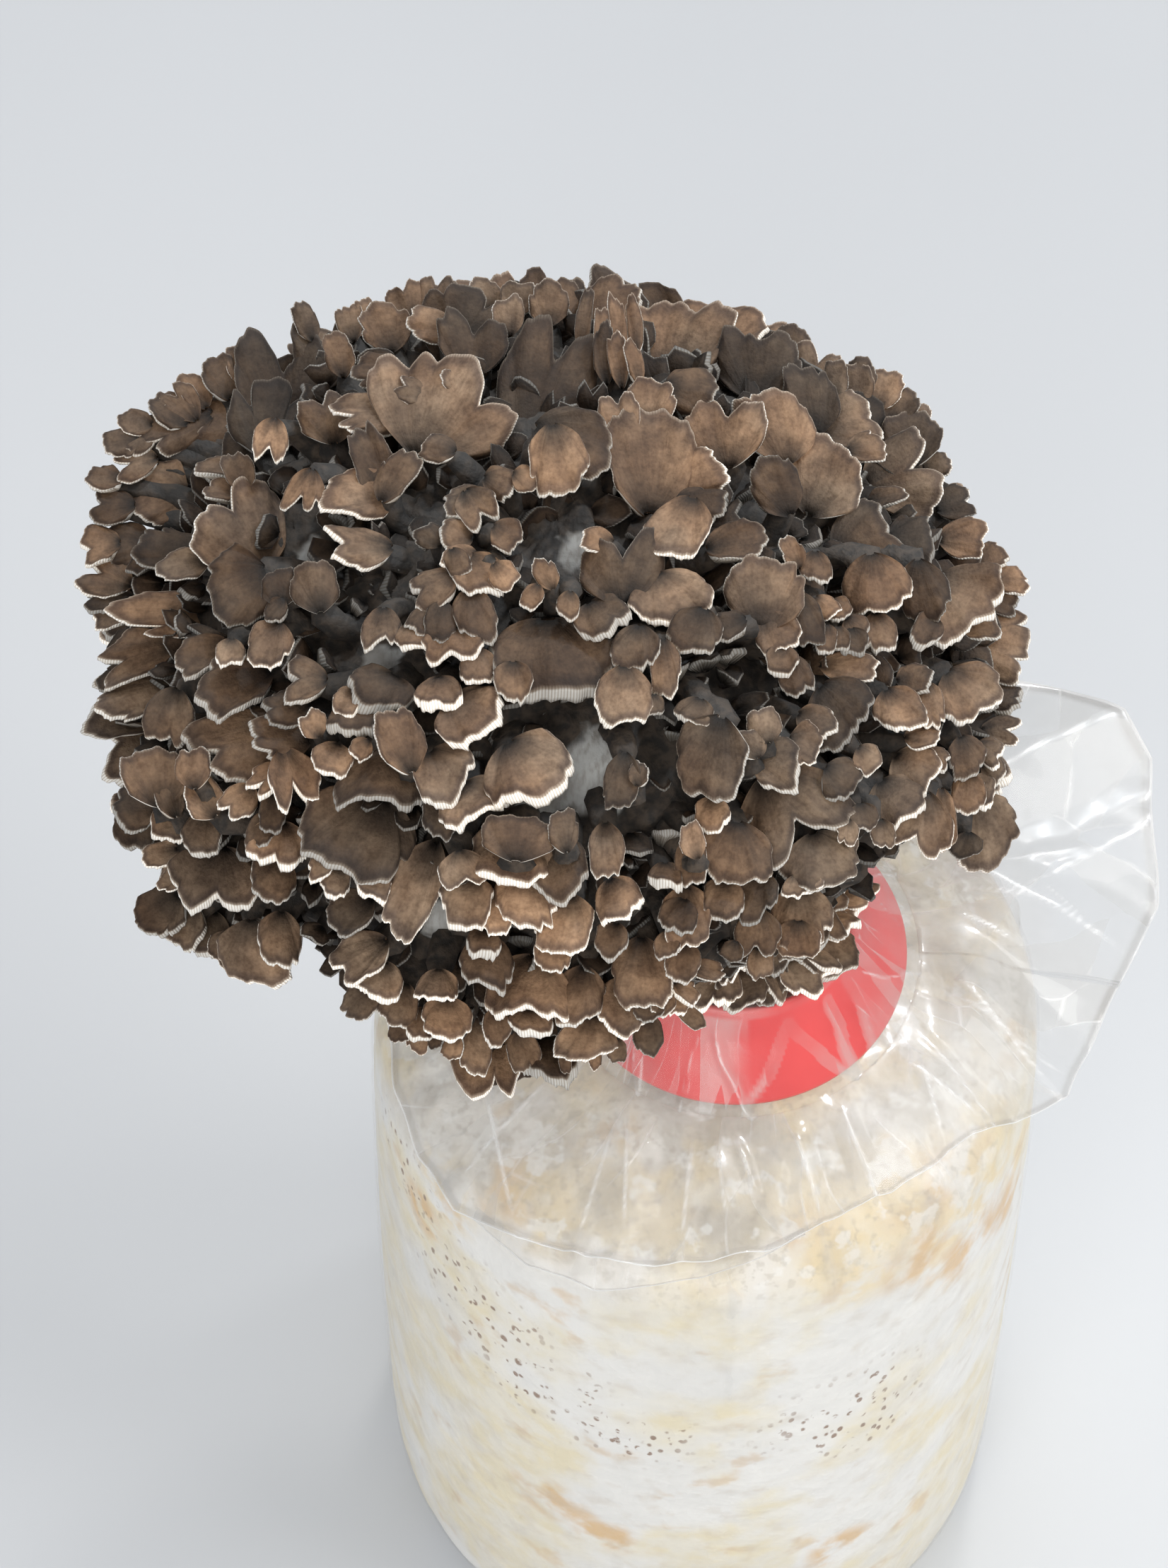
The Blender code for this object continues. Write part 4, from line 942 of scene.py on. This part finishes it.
growth = {
    # golden-angle places down from the crown: how many, the share of the head's height that they
    # cover, and the turn of the first. Caps out of the photograph's sight keep a least gap, in mm, and
    # face its viewer no more squarely than this share
    "hidden": (620, 1.62, 0), "hiddenGap": 9.6, "hiddenSeen": 0.20, "goldenAngle": 137.508,
    # bearing and the lowest elevation that caps reach there
    "lowest": (
        (0, -22), (25, -44), (90, -52), (170, -50), (195, -34), (210, -20), (225, -12), (245, -14),
        (262, -24), (276, -10), (286, 4), (305, 8), (325, 6), (340, 0), (360, -22),
    ),
    # small caps between the stalks, painted dark as shade, the deeper the darker: their places, depths,
    # sizes, and how many degrees lower the deeper ones may stand for each part of depth; lower still,
    # they sit on the dark middle
    "crumbs": (2300, 1.80, 40), "crumbDepth": (0.79, 0.93), "crumbSize": (5.6, 2.6), "lowerInside": 70,
    "onCore": (0.83, 0.02), "crumbShade": (0.02, 0.22, 0.09),
    # at the sides, which the photograph sees at a slant, they are larger and stand farther out
    "sideCrumbs": (1.4, 0.05),
    # the dark middle, a sheet of painted shade inside the cluster: its share of the head's depth, its
    # lowest and highest elevation, its grid, and its crumbs' sizes and heights
    "coreDepth": 0.80, "coreSpan": (-62, 89.5), "coreRings": 108, "coreAround": 190,
    "crumble": ((16, 0.9), (6.5, 0.6), (3.2, 0.3)), "drawnIn": 0.72,
    # bare pale flesh seen in the gaps: bearing, elevation, depth and radius; and the gap round it
    "flesh": (
        (277, 47, 0.82, 12), (268, 41, 0.81, 9), (221, 56, 0.84, 8), (235, 52, 0.83, 7), (300, 84, 0.86, 8),
        (180, 52, 0.84, 7), (252, 15, 0.83, 8), (294, 13, 0.84, 7), (338, 26, 0.82, 6),
    ),
    "clear": 1.0,
    # small caps round the stem where it leaves the collar: radius, height, first and last bearing,
    # how many
    "neckRows": ((24.8, 244.6, 196, 384, 18), (21.5, 250.0, 190, 390, 14)),
    # notches of the outline where nothing grows
    "notches": ((236, -8, 1.0, 9), (213, 12, 1.0, 6)),
    "capTone": (0.60, 0.34), "seed": 11,
}

headCentre, headRadii = np.array(head["centre"]), np.array(head["radii"])
forkCentre = np.array(head["fork"])
eye = np.array(view["place"]) / mm
down = view["down"] * deg
pictureRight = np.array([1.0, 0.0, 0.0])
pictureUp = np.array([0.0, math.sin(down), math.cos(down)])
towards = np.array([0.0, -math.cos(down), math.sin(down)])


def headPoint(bearing, elevation, depth=1.0):
    # the point of the head's ellipsoid at these two angles
    b, e = bearing * deg, elevation * deg
    ray = np.array([math.cos(e) * math.cos(b), math.cos(e) * math.sin(b), math.sin(e)])
    return headCentre + ray * headRadii * depth


def headed(heading, pitch):
    # the way a cap grows at this heading and pitch, and the way its top faces
    h, p = heading * deg, pitch * deg
    grow = np.array([math.cos(p) * math.cos(h), math.cos(p) * math.sin(h), math.sin(p)])
    return grow, np.array([-math.sin(p) * math.cos(h), -math.sin(p) * math.sin(h), math.cos(p)])


def leafForm(draw, width, length, lobes, axes, tip, spread):
    # a cap's form from its tip and axes, with a seeded roll, sweep, curl and rim of its own
    grow, normal = axes
    roll, sweep = draw.uniform(-1, 1, 2) * spread
    curl, rim = draw.uniform(0, 1, 2)
    across = np.cross(grow, normal)
    r = cap["roll"] * roll * deg
    turned = math.cos(r) * normal - math.sin(r) * across
    return {
        "side": math.cos(r) * across + math.sin(r) * normal, "grow": grow, "normal": turned, "tip": tip,
        "base": tip - length * grow + cap["bend"] * length * turned,
        "width": width, "length": length, "lobes": lobes, "sweep": cap["sweep"] * sweep,
        "curl": np.interp(curl, (0, 1), cap["curl"]), "rim": np.interp(rim, (0, 1), cap["rimShare"]),
    }


def seenLeaf(one, draw):
    # a cap at its place in the photograph: the tip where the ray through its pixel meets the head,
    # grown along the picture's direction from heel to tip and leaning out of the picture by l:
    # grow = cos l (direction) + sin l (towards the viewer). Its top is turned up from the viewer
    tipX, tipY, heelX, heelY, width, lean, lobes = (*one, 1)[:7]
    middleX, middleY = view["middle"]
    ray = ((tipX - middleX) * pictureRight - (tipY - middleY) * pictureUp) / view["pixels"] - towards
    start, step = (eye - headCentre) / headRadii, ray / headRadii
    a, b, c = step @ step, start @ step, start @ start - 1
    tip = eye + ray * (-b - math.sqrt(max(b * b - a * c, 0))) / a
    scale = (towards @ (eye - tip)) / view["pixels"]
    flat = (tipX - heelX) * pictureRight - (tipY - heelY) * pictureUp
    seenLength = np.linalg.norm(flat)
    grow = math.cos(lean * deg) * flat / seenLength + math.sin(lean * deg) * towards
    hint = math.cos(cap["upward"] * deg) * towards + math.sin(cap["upward"] * deg) * pictureUp
    normal = unit(hint - (hint @ grow) * grow)
    length = seenLength * scale / math.cos(min(lean, cap["mostLean"]) * deg)
    wider, longer = cap["larger"]
    leaf = leafForm(draw, wider * width * scale, longer * length, lobes, (grow, normal), tip, 0.45)
    leaf["rim"] *= np.interp(tipY, *cap["rimRows"])
    return leaf


def grownLeaf(one, draw, depth=1.0):
    # a cap out of sight: bearing and elevation of its tip, heading and pitch, width, length, lobes
    bearing, elevation, heading, pitch, width, length, lobes = one[:7]
    tip = headPoint(bearing, elevation, depth)
    leaf = leafForm(draw, width, length, lobes, headed(heading, pitch), tip, 1.0)
    leaf["rim"] *= cap["hiddenRim"]
    leaf["spacing"] = cap["hiddenSpacing"]
    return leaf


def seenShare(bearing, elevation):
    # how squarely the head faces the photograph's viewer there: 1 full on, 0 and less out of sight
    return unit((headPoint(bearing, elevation) - headCentre) / headRadii ** 2) @ towards


def lowestThere(bearing):
    return np.interp(bearing % 360, *np.array(growth["lowest"], float).T)


def bareSpot(at):
    # whether a place lies over the bare flesh or in a notch of the outline
    spots = [(headPoint(*one[:3]), one[3] + growth["clear"]) for one in growth["flesh"] + growth["notches"]]
    return any(np.linalg.norm(at - middle) < reach for middle, reach in spots)


def spreadPlaces(count, span, turned):
    # golden-angle places from the crown downwards: bearing and elevation
    for k in range(count):
        elevation = math.asin(1 - span * (k + 0.5) / count) / deg
        yield (k * growth["goldenAngle"] + turned) % 360, elevation


def hiddenCaps(draw, taken):
    # caps of the back and the underside, far enough from others
    taken = list(taken)
    made = []
    for bearing, elevation in spreadPlaces(*growth["hidden"]):
        at = headPoint(bearing, elevation)
        seen = seenShare(bearing, elevation)
        if elevation < lowestThere(bearing) or seen > growth["hiddenSeen"] or bareSpot(at):
            continue
        if min(np.linalg.norm(at - other) for other in taken) < growth["hiddenGap"]:
            continue
        taken.append(at)
        turn, tilt, size, more = draw.uniform(-1, 1, 4)
        made.append((
            bearing, elevation, bearing + 34 * turn, 14 + 0.45 * elevation + 20 * tilt,
            14 + 6 * size, 15 + 3 * more, 1 + int(draw.integers(0, 3)),
        ))
    return made


def neckCaps(draw):
    # rows of small caps round the foot of the cluster, hanging over the collar's opening
    made = []
    for radius, height, first, last, count in growth["neckRows"]:
        for bearing in np.linspace(first, last, count):
            turn, tilt, size, more = draw.uniform(-1, 1, 4)
            b, reach = (bearing + 5 * turn) * deg, radius + 1.5 * size
            tip = np.array([bag["collarX"] + reach * math.cos(b), reach * math.sin(b), height + 1.5 * tilt])
            axes = headed(bearing + 25 * more, -2 + 14 * tilt)
            made.append(leafForm(draw, 9.5 + 2.5 * size, 11, 1 + int(more > 0), axes, tip, 0.6))
    return made


def crumbCaps(draw):
    # small caps under the main ones, at seeded places and depths, none over the bare flesh; each
    # with its depth, and whether it sits on the dark middle
    made = []
    least, most = growth["crumbDepth"]
    for bearing, elevation in spreadPlaces(*growth["crumbs"]):
        turn, tilt, size, more, inward = draw.uniform(-1, 1, 5)
        depth = np.interp(inward, (-1, 1), (least, most))
        low = elevation < lowestThere(bearing) - growth["lowerInside"] * (most - depth)
        if low:
            depth = growth["onCore"][0] + growth["onCore"][1] * inward
        elif bareSpot(headPoint(bearing, elevation, depth)):
            continue
        slant = 1 - smoothStep(seenShare(bearing, elevation) / 0.45)
        slant *= smoothStep((elevation - lowestThere(bearing) - 3) / 8)
        larger, outward = growth["sideCrumbs"]
        mean, spread = np.array(growth["crumbSize"]) * (1 + (larger - 1) * slant)
        made.append((
            bearing, elevation, bearing + 60 * turn, 18 + 0.5 * elevation + 30 * tilt,
            mean + spread * size, mean + 1 + spread * more, 1 + int(draw.integers(0, 3)),
            depth + outward * slant, low,
        ))
    return made


def capShell(leaf, draw, columns, rows, tone):
    # a fan: each column runs out along the top from heel to margin, down the fringed rim and back
    # underneath. The margin is x = w/2 sin t, y = L (0.52 + 0.48 cos t), sine and cosine raised to
    # the power of 0.84, then waved, notched between lobes and cleft. The surface is that outline
    # times rho, bent down by 0.16 r^2 / L, its sides curled by c x^2 / w and raised, swept aside by
    # s y^2 / L, waved more near the margin and drooping at its edge
    width, length, lobes, full = leaf["width"], leaf["length"], leaf["lobes"], cap["fullness"]
    t = np.linspace(1, -1, columns)
    tau = t * cap["turn"] * deg
    phase = draw.uniform(0, 2 * math.pi, 10)
    reach = 1 + sines(tau, cap["margin"], phase)
    if lobes > 1:
        between = 1 - np.abs(np.sin(lobes * math.pi * (t + 1) / 2))
        reach = reach - cap["notch"] * between ** 2.2 * (1 + 0.5 * np.sin(3.1 * tau + phase[4]))
    clefts = draw.uniform(*cap["cleftPlaces"], 2)
    for at, deep in zip(clefts, draw.uniform(*cap["cleftDepths"], 2)):
        reach = reach - max(deep, 0) * np.exp(-np.abs((t - at) / cap["cleftWidth"]) ** 1.3)
    marginX = width / 2 * np.sign(t) * np.abs(np.sin(tau)) ** full * reach
    bow = np.sign(np.cos(tau)) * np.abs(np.cos(tau)) ** full
    marginY = length * (cap["centre"] + (1 - cap["centre"]) * bow) * reach
    rho = np.array(rows)[None, :]
    x = marginX[:, None] * rho ** cap["spoon"]
    y = marginY[:, None] * rho
    wave = width * sines(tau, cap["waves"], phase[5:])
    z = -cap["bend"] * (x ** 2 + y ** 2) / length + wave[:, None] * rho ** 2.2
    z = z + leaf["curl"] * x ** 2 / width
    z = z + cap["raised"] * width * np.abs(t[:, None]) ** 4 * rho * (1 - rho)
    z = z - cap["droop"] * min(width, 16) * smoothStep((rho - 0.82) / 0.18) ** 1.5
    # the rim is thickest at the front and thins unevenly to the sides
    edge = (0.34 + 0.66 * np.sqrt(1 - np.abs(t) ** 5)) * (1 + 0.20 * np.sin(3.3 * tau + phase[8]))
    rim = cap["rim"] * leaf["rim"] * min(1.05, 0.52 + width / 36) * edge[:, None]
    out = unit(np.stack([np.gradient(marginY), -np.gradient(marginX)], -1))
    tooth = draw.uniform(-1, 1, columns)
    inset = 0.25 * tooth * cap["fringe"] - 0.15
    lowX, lowY, lowZ = x.copy(), y.copy(), z - rim - (cap["heel"] - rim) * (1 - rho) ** 0.8
    lowX[:, -1] += out[:, 0] * inset
    lowY[:, -1] += out[:, 1] * inset
    lowZ[:, -1] -= cap["fringe"] * tooth
    step = cap["proud"] + tooth[:, None] * cap["fringe"] * np.array([0.0, 0.2])
    rimX, rimY = marginX[:, None] + out[:, :1] * step, marginY[:, None] + out[:, 1:] * step
    rimZ = z[:, -1:] - rim * np.array([0.26, 0.64])
    sides = ((x, rimX, lowX), (y, rimY, lowY), (z, rimZ, lowZ))
    local = [np.concatenate([top, middle, low[:, ::-1]], 1) for top, middle, low in sides]
    local[0] = local[0] + leaf["sweep"] * local[1] ** 2 / length
    axes = zip(local, ("side", "grow", "normal"))
    grid = leaf["base"] + sum(part[..., None] * leaf[axis] for part, axis in axes)
    topZone = np.array(rows) - rows[0]
    zone = np.concatenate([topZone / topZone[-1], [1.3, 1.7], 3 - topZone[::-1] / topZone[-1]])
    # the map: distance along the margin across the cap, and distance from the heel, in metres
    arc = np.concatenate([[0], np.cumsum(np.hypot(np.diff(marginX), np.diff(marginY)))])
    place = np.stack(np.broadcast_arrays(arc[:, None], length * np.minimum(zone, 1)[None, :]), -1)
    return loft(grid, place * mm + draw.uniform(0, 3, 2), zone[None, :], tone)


def tube(line, wide, high, across, up, around):
    # an ellipse of the two half widths carried along the line
    turn = np.arange(around) * 2 * math.pi / around
    return line[:, None] + (wide * np.cos(turn))[..., None] * across + (high * np.sin(turn))[..., None] * up


def drawnIn(points, elevation):
    # below the head's widest part the middle is drawn in towards the fork
    share = 1 - growth["drawnIn"] * smoothStep((-0.05 - elevation) / 0.95)
    return forkCentre + (points - forkCentre) * share


stalk = {
    # how deep it is rooted; where it meets the cap, as a share of its length, and how far under it;
    # how straight it leaves the root and reaches the cap
    "rootDepth": 0.66, "under": (0.34, 3.0), "reaches": (0.38, 0.42),
    # half widths at the root, the shares of the cap's width that it grows to, and the widest cap
    "wide": (3.2, 0.24, 2.6), "high": (3.0, 1.3), "widest": 22,
    # points round and along, and tone, a painted shade, of a cap's and of a crumb's
    "large": (8, 7), "small": (5, 3), "tone": (0.42, 0.2), "crumbStalkShade": 0.28,
}


def stalkShell(leaf, tone, around, rings):
    # a neck along a cubic curve, from the dark middle out to under the cap, where it is broad
    grow = leaf["grow"]
    outward = (leaf["base"] - headCentre) / headRadii
    axis = unit(outward)
    root = axis * min(np.linalg.norm(outward), stalk["rootDepth"]) * headRadii
    start = drawnIn(headCentre + root, math.asin(np.clip(axis[2], -1, 1)))
    share, below = stalk["under"]
    end = leaf["base"] + share * leaf["length"] * grow - below * leaf["normal"]
    span = np.linalg.norm(end - start)
    out, back = stalk["reaches"]
    first, second = start + out * span * axis, end - back * span * grow
    t = np.linspace(0, 1, rings)[:, None]
    line = (1 - t) ** 3 * start + 3 * (1 - t) ** 2 * t * first
    line = line + 3 * (1 - t) * t ** 2 * second + t ** 3 * end
    along = unit(np.gradient(line, axis=0))
    across = unit(leaf["side"] - (along @ leaf["side"])[:, None] * along)
    up = np.cross(along, across)
    rounding = 1 - 0.55 * smoothStep((t - 0.86) / 0.14)
    base, grown, less = stalk["wide"]
    wide = (base + (grown * min(leaf["width"], stalk["widest"]) - less) * t ** 2) * rounding
    high = (stalk["high"][0] - stalk["high"][1] * t) * rounding
    grid = tube(line, wide, high, across[:, None], up[:, None], around)
    # zone 0.6 to 1 lays the stem's dark painted shade along the stalk
    return loft(grid, zone=0.6 + 0.4 * t, tone=tone)


def coreShell():
    # the dark crowded middle of the cluster, a sheet of painted shade: the head's ellipsoid at a part of
    # its depth, drawn in towards the fork below, its surface crumbled by |sin| of plane waves in seeded
    # directions; its tone is painted shade, a little lighter where the crumbs stand out, and the bare
    # flesh in the gaps is dimmed
    elevation = np.linspace(*growth["coreSpan"], growth["coreRings"])[:, None] * deg
    bearing = np.arange(growth["coreAround"]) * 2 * math.pi / growth["coreAround"]
    ray = np.stack(np.broadcast_arrays(
        np.cos(elevation) * np.cos(bearing), np.cos(elevation) * np.sin(bearing), np.sin(elevation),
    ), -1)
    grid = drawnIn(headCentre + ray * headRadii * growth["coreDepth"], elevation[..., None])
    draw = np.random.default_rng(growth["seed"] + 1)
    crumble = np.zeros(grid.shape[:2])
    for size, high in growth["crumble"]:
        for _ in range(5):
            wave = unit(draw.normal(size=3)) * 2 * math.pi / (size * draw.uniform(0.7, 1.4))
            crumble += high * np.abs(np.sin(grid @ wave + draw.uniform(0, 6.28)))
    bare = np.zeros(grid.shape[:2])
    for *place, radius in growth["flesh"]:
        gap = np.linalg.norm(grid - headPoint(*place), axis=-1) + 1.1 * crumble - 4.5
        bare = np.maximum(bare, 1 - smoothStep((gap - 0.6 * radius) / (0.45 * radius)))
    grid = grid + ray * ((crumble - 4.0) * (1 - 0.85 * bare) + 1.5 * bare)[..., None]
    shade = np.clip(0.10 + 0.05 * crumble, 0.05, 0.6)
    return loft(grid, zone=1 - bare, tone=shade + (0.55 - shade) * bare)


limb = {"radius": 17, "thinner": 3, "rings": 16, "around": 24, "shadedBrown": 0.8, "tone": 0.42}


def limbShell(tip, seed):
    # a lumpy limb from the stem's fork outwards, rounded at its tip
    axis = unit(tip - forkCentre)
    across = unit(np.cross(axis, [0.3, 0.2, 1.0]))
    t = np.linspace(0, 1, limb["rings"])[:, None]
    turn = np.arange(limb["around"]) * 2 * math.pi / limb["around"]
    size = (limb["radius"] - limb["thinner"] * (1 - t)) * np.sqrt(1 - 0.995 * t ** 5)
    lumps = 0.10 * np.sin(3 * turn + 5 * t + seed) + 0.07 * np.sin(7 * turn - 9 * t + 2 * seed)
    size = size * (1 + lumps + 0.04 * np.sin(13 * turn + 21 * t))
    line = forkCentre + t * (tip - forkCentre)
    grid = tube(line, size, size, across, np.cross(axis, across), limb["around"])
    # painted shade: the limb is laid darker towards its tip and dimmed by its tone
    return loft(grid, zone=limb["shadedBrown"] * t, tone=limb["tone"])


stem = {
    # radius and height, from the block up into the cluster; where it starts to lean and stops
    "profile": (
        (0.5, 219.9), (12, 219.9), (18.4, 220.2), (18.9, 224), (18.9, 239), (19.4, 243), (20.4, 247),
        (23.3, 252.5), (24.8, 259), (23, 266.5), (17, 272.5), (9, 275.6), (0.5, 276),
    ),
    "lean": (-17.0, 12.0), "from": 240.0, "to": 262.0, "lumpyFrom": 241, "around": 72, "tone": 0.8,
}


def stemShell():
    # the stout stem: turned, lumpy above the collar, leaning back and to the left
    grid = revolved(resampled(rounded(stem["profile"]), 1.6), stem["around"])
    turn = np.arctan2(grid[..., 1], grid[..., 0])
    free = smoothStep((grid[..., 2] - stem["lumpyFrom"]) / 10)
    lumps = 0.045 * np.sin(5 * turn + 0.13 * grid[..., 2]) + 0.03 * np.sin(11 * turn - 0.2 * grid[..., 2])
    grid[..., :2] *= (1 + free * lumps)[..., None]
    share = smoothStep((grid[..., 2] - stem["from"]) / (stem["to"] - stem["from"]))
    grid[..., 0] += bag["collarX"] + stem["lean"][0] * share
    grid[..., 1] += stem["lean"][1] * share
    return loft(grid, zone=0.0, tone=stem["tone"])


def buildMushroom(capSkin, stemFlesh):
    # every cap goes to the branch whose fork lies nearest its direction; all stalks, the stem, the
    # dark middle and the limbs are one piece
    draw = np.random.default_rng(growth["seed"])
    names = list(head["branches"])
    tips = [forkCentre + 0.5 * (headPoint(*head["branches"][name]) - forkCentre) for name in names]
    axes = np.array([unit(tip - forkCentre) for tip in tips])
    leaves = {name: [] for name in names}
    flesh = [stemShell()]

    def branchOf(leaf):
        return leaves[names[int(np.argmax(axes @ unit(leaf["tip"] - forkCentre)))]]

    grown = [seenLeaf(one, draw) for one in seenCaps]
    grown += [grownLeaf(one, draw) for one in hiddenCaps(draw, [leaf["tip"] for leaf in grown])]
    grown += neckCaps(draw)
    print(f"{len(grown)} caps placed")
    for leaf in grown:
        around = 1.25 * leaf["width"] + 1.1 * leaf["length"]
        columns = max(24, int(around / leaf.get("spacing", cap["spacing"])))
        tone = growth["capTone"][0] + growth["capTone"][1] * draw.uniform(-1, 1)
        branchOf(leaf).append(capShell(leaf, draw, columns, cap["rows"], tone))
        tone = stalk["tone"][0] + stalk["tone"][1] * draw.uniform(-1, 1)
        flesh.append(stalkShell(leaf, tone, *stalk["large"]))
    for *one, depth, onCore in crumbCaps(draw):
        leaf = grownLeaf(one, draw, depth)
        leaf["rim"] *= cap["crumbRim"]
        if onCore:
            moved = drawnIn(leaf["tip"], one[1] * deg) - leaf["tip"]
            leaf["tip"], leaf["base"] = leaf["tip"] + moved, leaf["base"] + moved
        # painted shade: crumbs are darker the deeper they sit
        dark, rise, varied = growth["crumbShade"]
        tone = dark + rise * smoothStep((depth - 0.78) / 0.18) + varied * draw.uniform(-1, 1)
        branchOf(leaf).append(capShell(leaf, draw, cap["crumbColumns"], cap["crumbRows"], tone))
        flesh.append(stalkShell(leaf, stalk["crumbStalkShade"], *stalk["small"]))
    flesh.append(coreShell())
    for k, (name, tip) in enumerate(zip(names, tips)):
        flesh.append(limbShell(tip, k))
        makePiece(f"{name.replace('branch_', '')}Caps", leaves[name], capSkin, [name])
    makePiece("stemAndStalks", flesh, stemFlesh, ["mushroom_stem"])


stage = {
    "floor": (0.59, 0.605, 0.625), "floorShare": 0.97, "floorClouds": (3.0, 0.3, 0.7), "floorHalf": 4.0,
    "roughness": 0.6, "world": (0.94, 0.965, 1.0), "worldStrength": 0.67,
    # name, place, target, size in metres, power in watts, colour
    "lamps": (
        ("keySoft", (1.4, -0.3, 1.5), (0, 0, 0.15), 1.1, 16.0, (1.0, 0.985, 0.96)),
        ("frontSoft", (-0.3, -1.3, 0.9), (0, 0, 0.15), 1.1, 10.0, (1.0, 0.985, 0.965)),
        ("topSoft", (-0.2, 0.6, 1.9), (0, 0, 0.25), 1.2, 6.0, (0.97, 0.985, 1.0)),
    ),
    # small lamps that only show as glints on gloss
    "glints": (
        ("glintBack", (0.22, 0.76, 1.7), (0, 0, 0.22), 0.15, 30.0, (1.0, 0.99, 0.97)),
        ("glintRight", (0.75, 0.45, 1.5), (0, 0, 0.22), 0.13, 26.0, (0.92, 0.96, 1.0)),
    ),
}


def placed(name, data, place=(0, 0, 0)):
    thing = bpy.data.objects.new(name, data)
    thing.location = place
    bpy.context.scene.collection.objects.link(thing)
    return thing


def buildStage():
    # a pale floor, a pale room all round, and the lamps
    material, tree, shader = newMaterial("paleFloor")
    here, = given(tree, "here")
    dimmer = tuple(stage["floorShare"] * c for c in stage["floor"])
    shade = blend(cloud(here, *stage["floorClouds"]), stage["floor"], dimmer)
    feed(shader, {"Base Color": shade, "Roughness": stage["roughness"]})
    side = stage["floorHalf"]
    mesh = bpy.data.meshes.new("paleFloor")
    corners = [(-side, -side, 0), (side, -side, 0), (side, side, 0), (-side, side, 0)]
    mesh.from_pydata(corners, [], [(0, 1, 2, 3)])
    mesh.materials.append(material)
    placed("paleFloor", mesh)
    world = bpy.data.worlds.new("paleRoom")
    world.use_nodes = True
    light = {"Color": (*stage["world"], 1), "Strength": stage["worldStrength"]}
    feed(world.node_tree.nodes["Background"], light)
    bpy.context.scene.world = world
    for name, place, target, size, power, colour in stage["lamps"] + stage["glints"]:
        lamp = bpy.data.lights.new(name, "AREA")
        lamp.size, lamp.energy, lamp.color = size, power, colour
        stand = placed(name, lamp, place)
        stand.rotation_euler = (Vector(target) - Vector(place)).to_track_quat("-Z", "Y").to_euler()
        stand.visible_diffuse = not name.startswith("glint")


def buildCamera():
    camera = bpy.data.cameras.new("photoView")
    camera.lens, camera.sensor_width, camera.sensor_fit = view["lens"], view["sensor"], "AUTO"
    camera.clip_start, camera.clip_end = view["clip"]
    stand = placed("photoView", camera, view["place"])
    stand.rotation_euler = ((90 - view["down"]) * deg, 0, 0)
    bpy.context.scene.camera = stand


bpy.context.scene.view_settings.view_transform = "Standard"
buildCamera()
buildStage()
print("camera and stage ready")
substrateBlock(blockMaterial())
neckCollar(collarMaterial())
bagFilm(filmMaterial())
print("bag, block and collar built")
buildMushroom(capMaterial(), stemMaterial())
print("mushroom built")
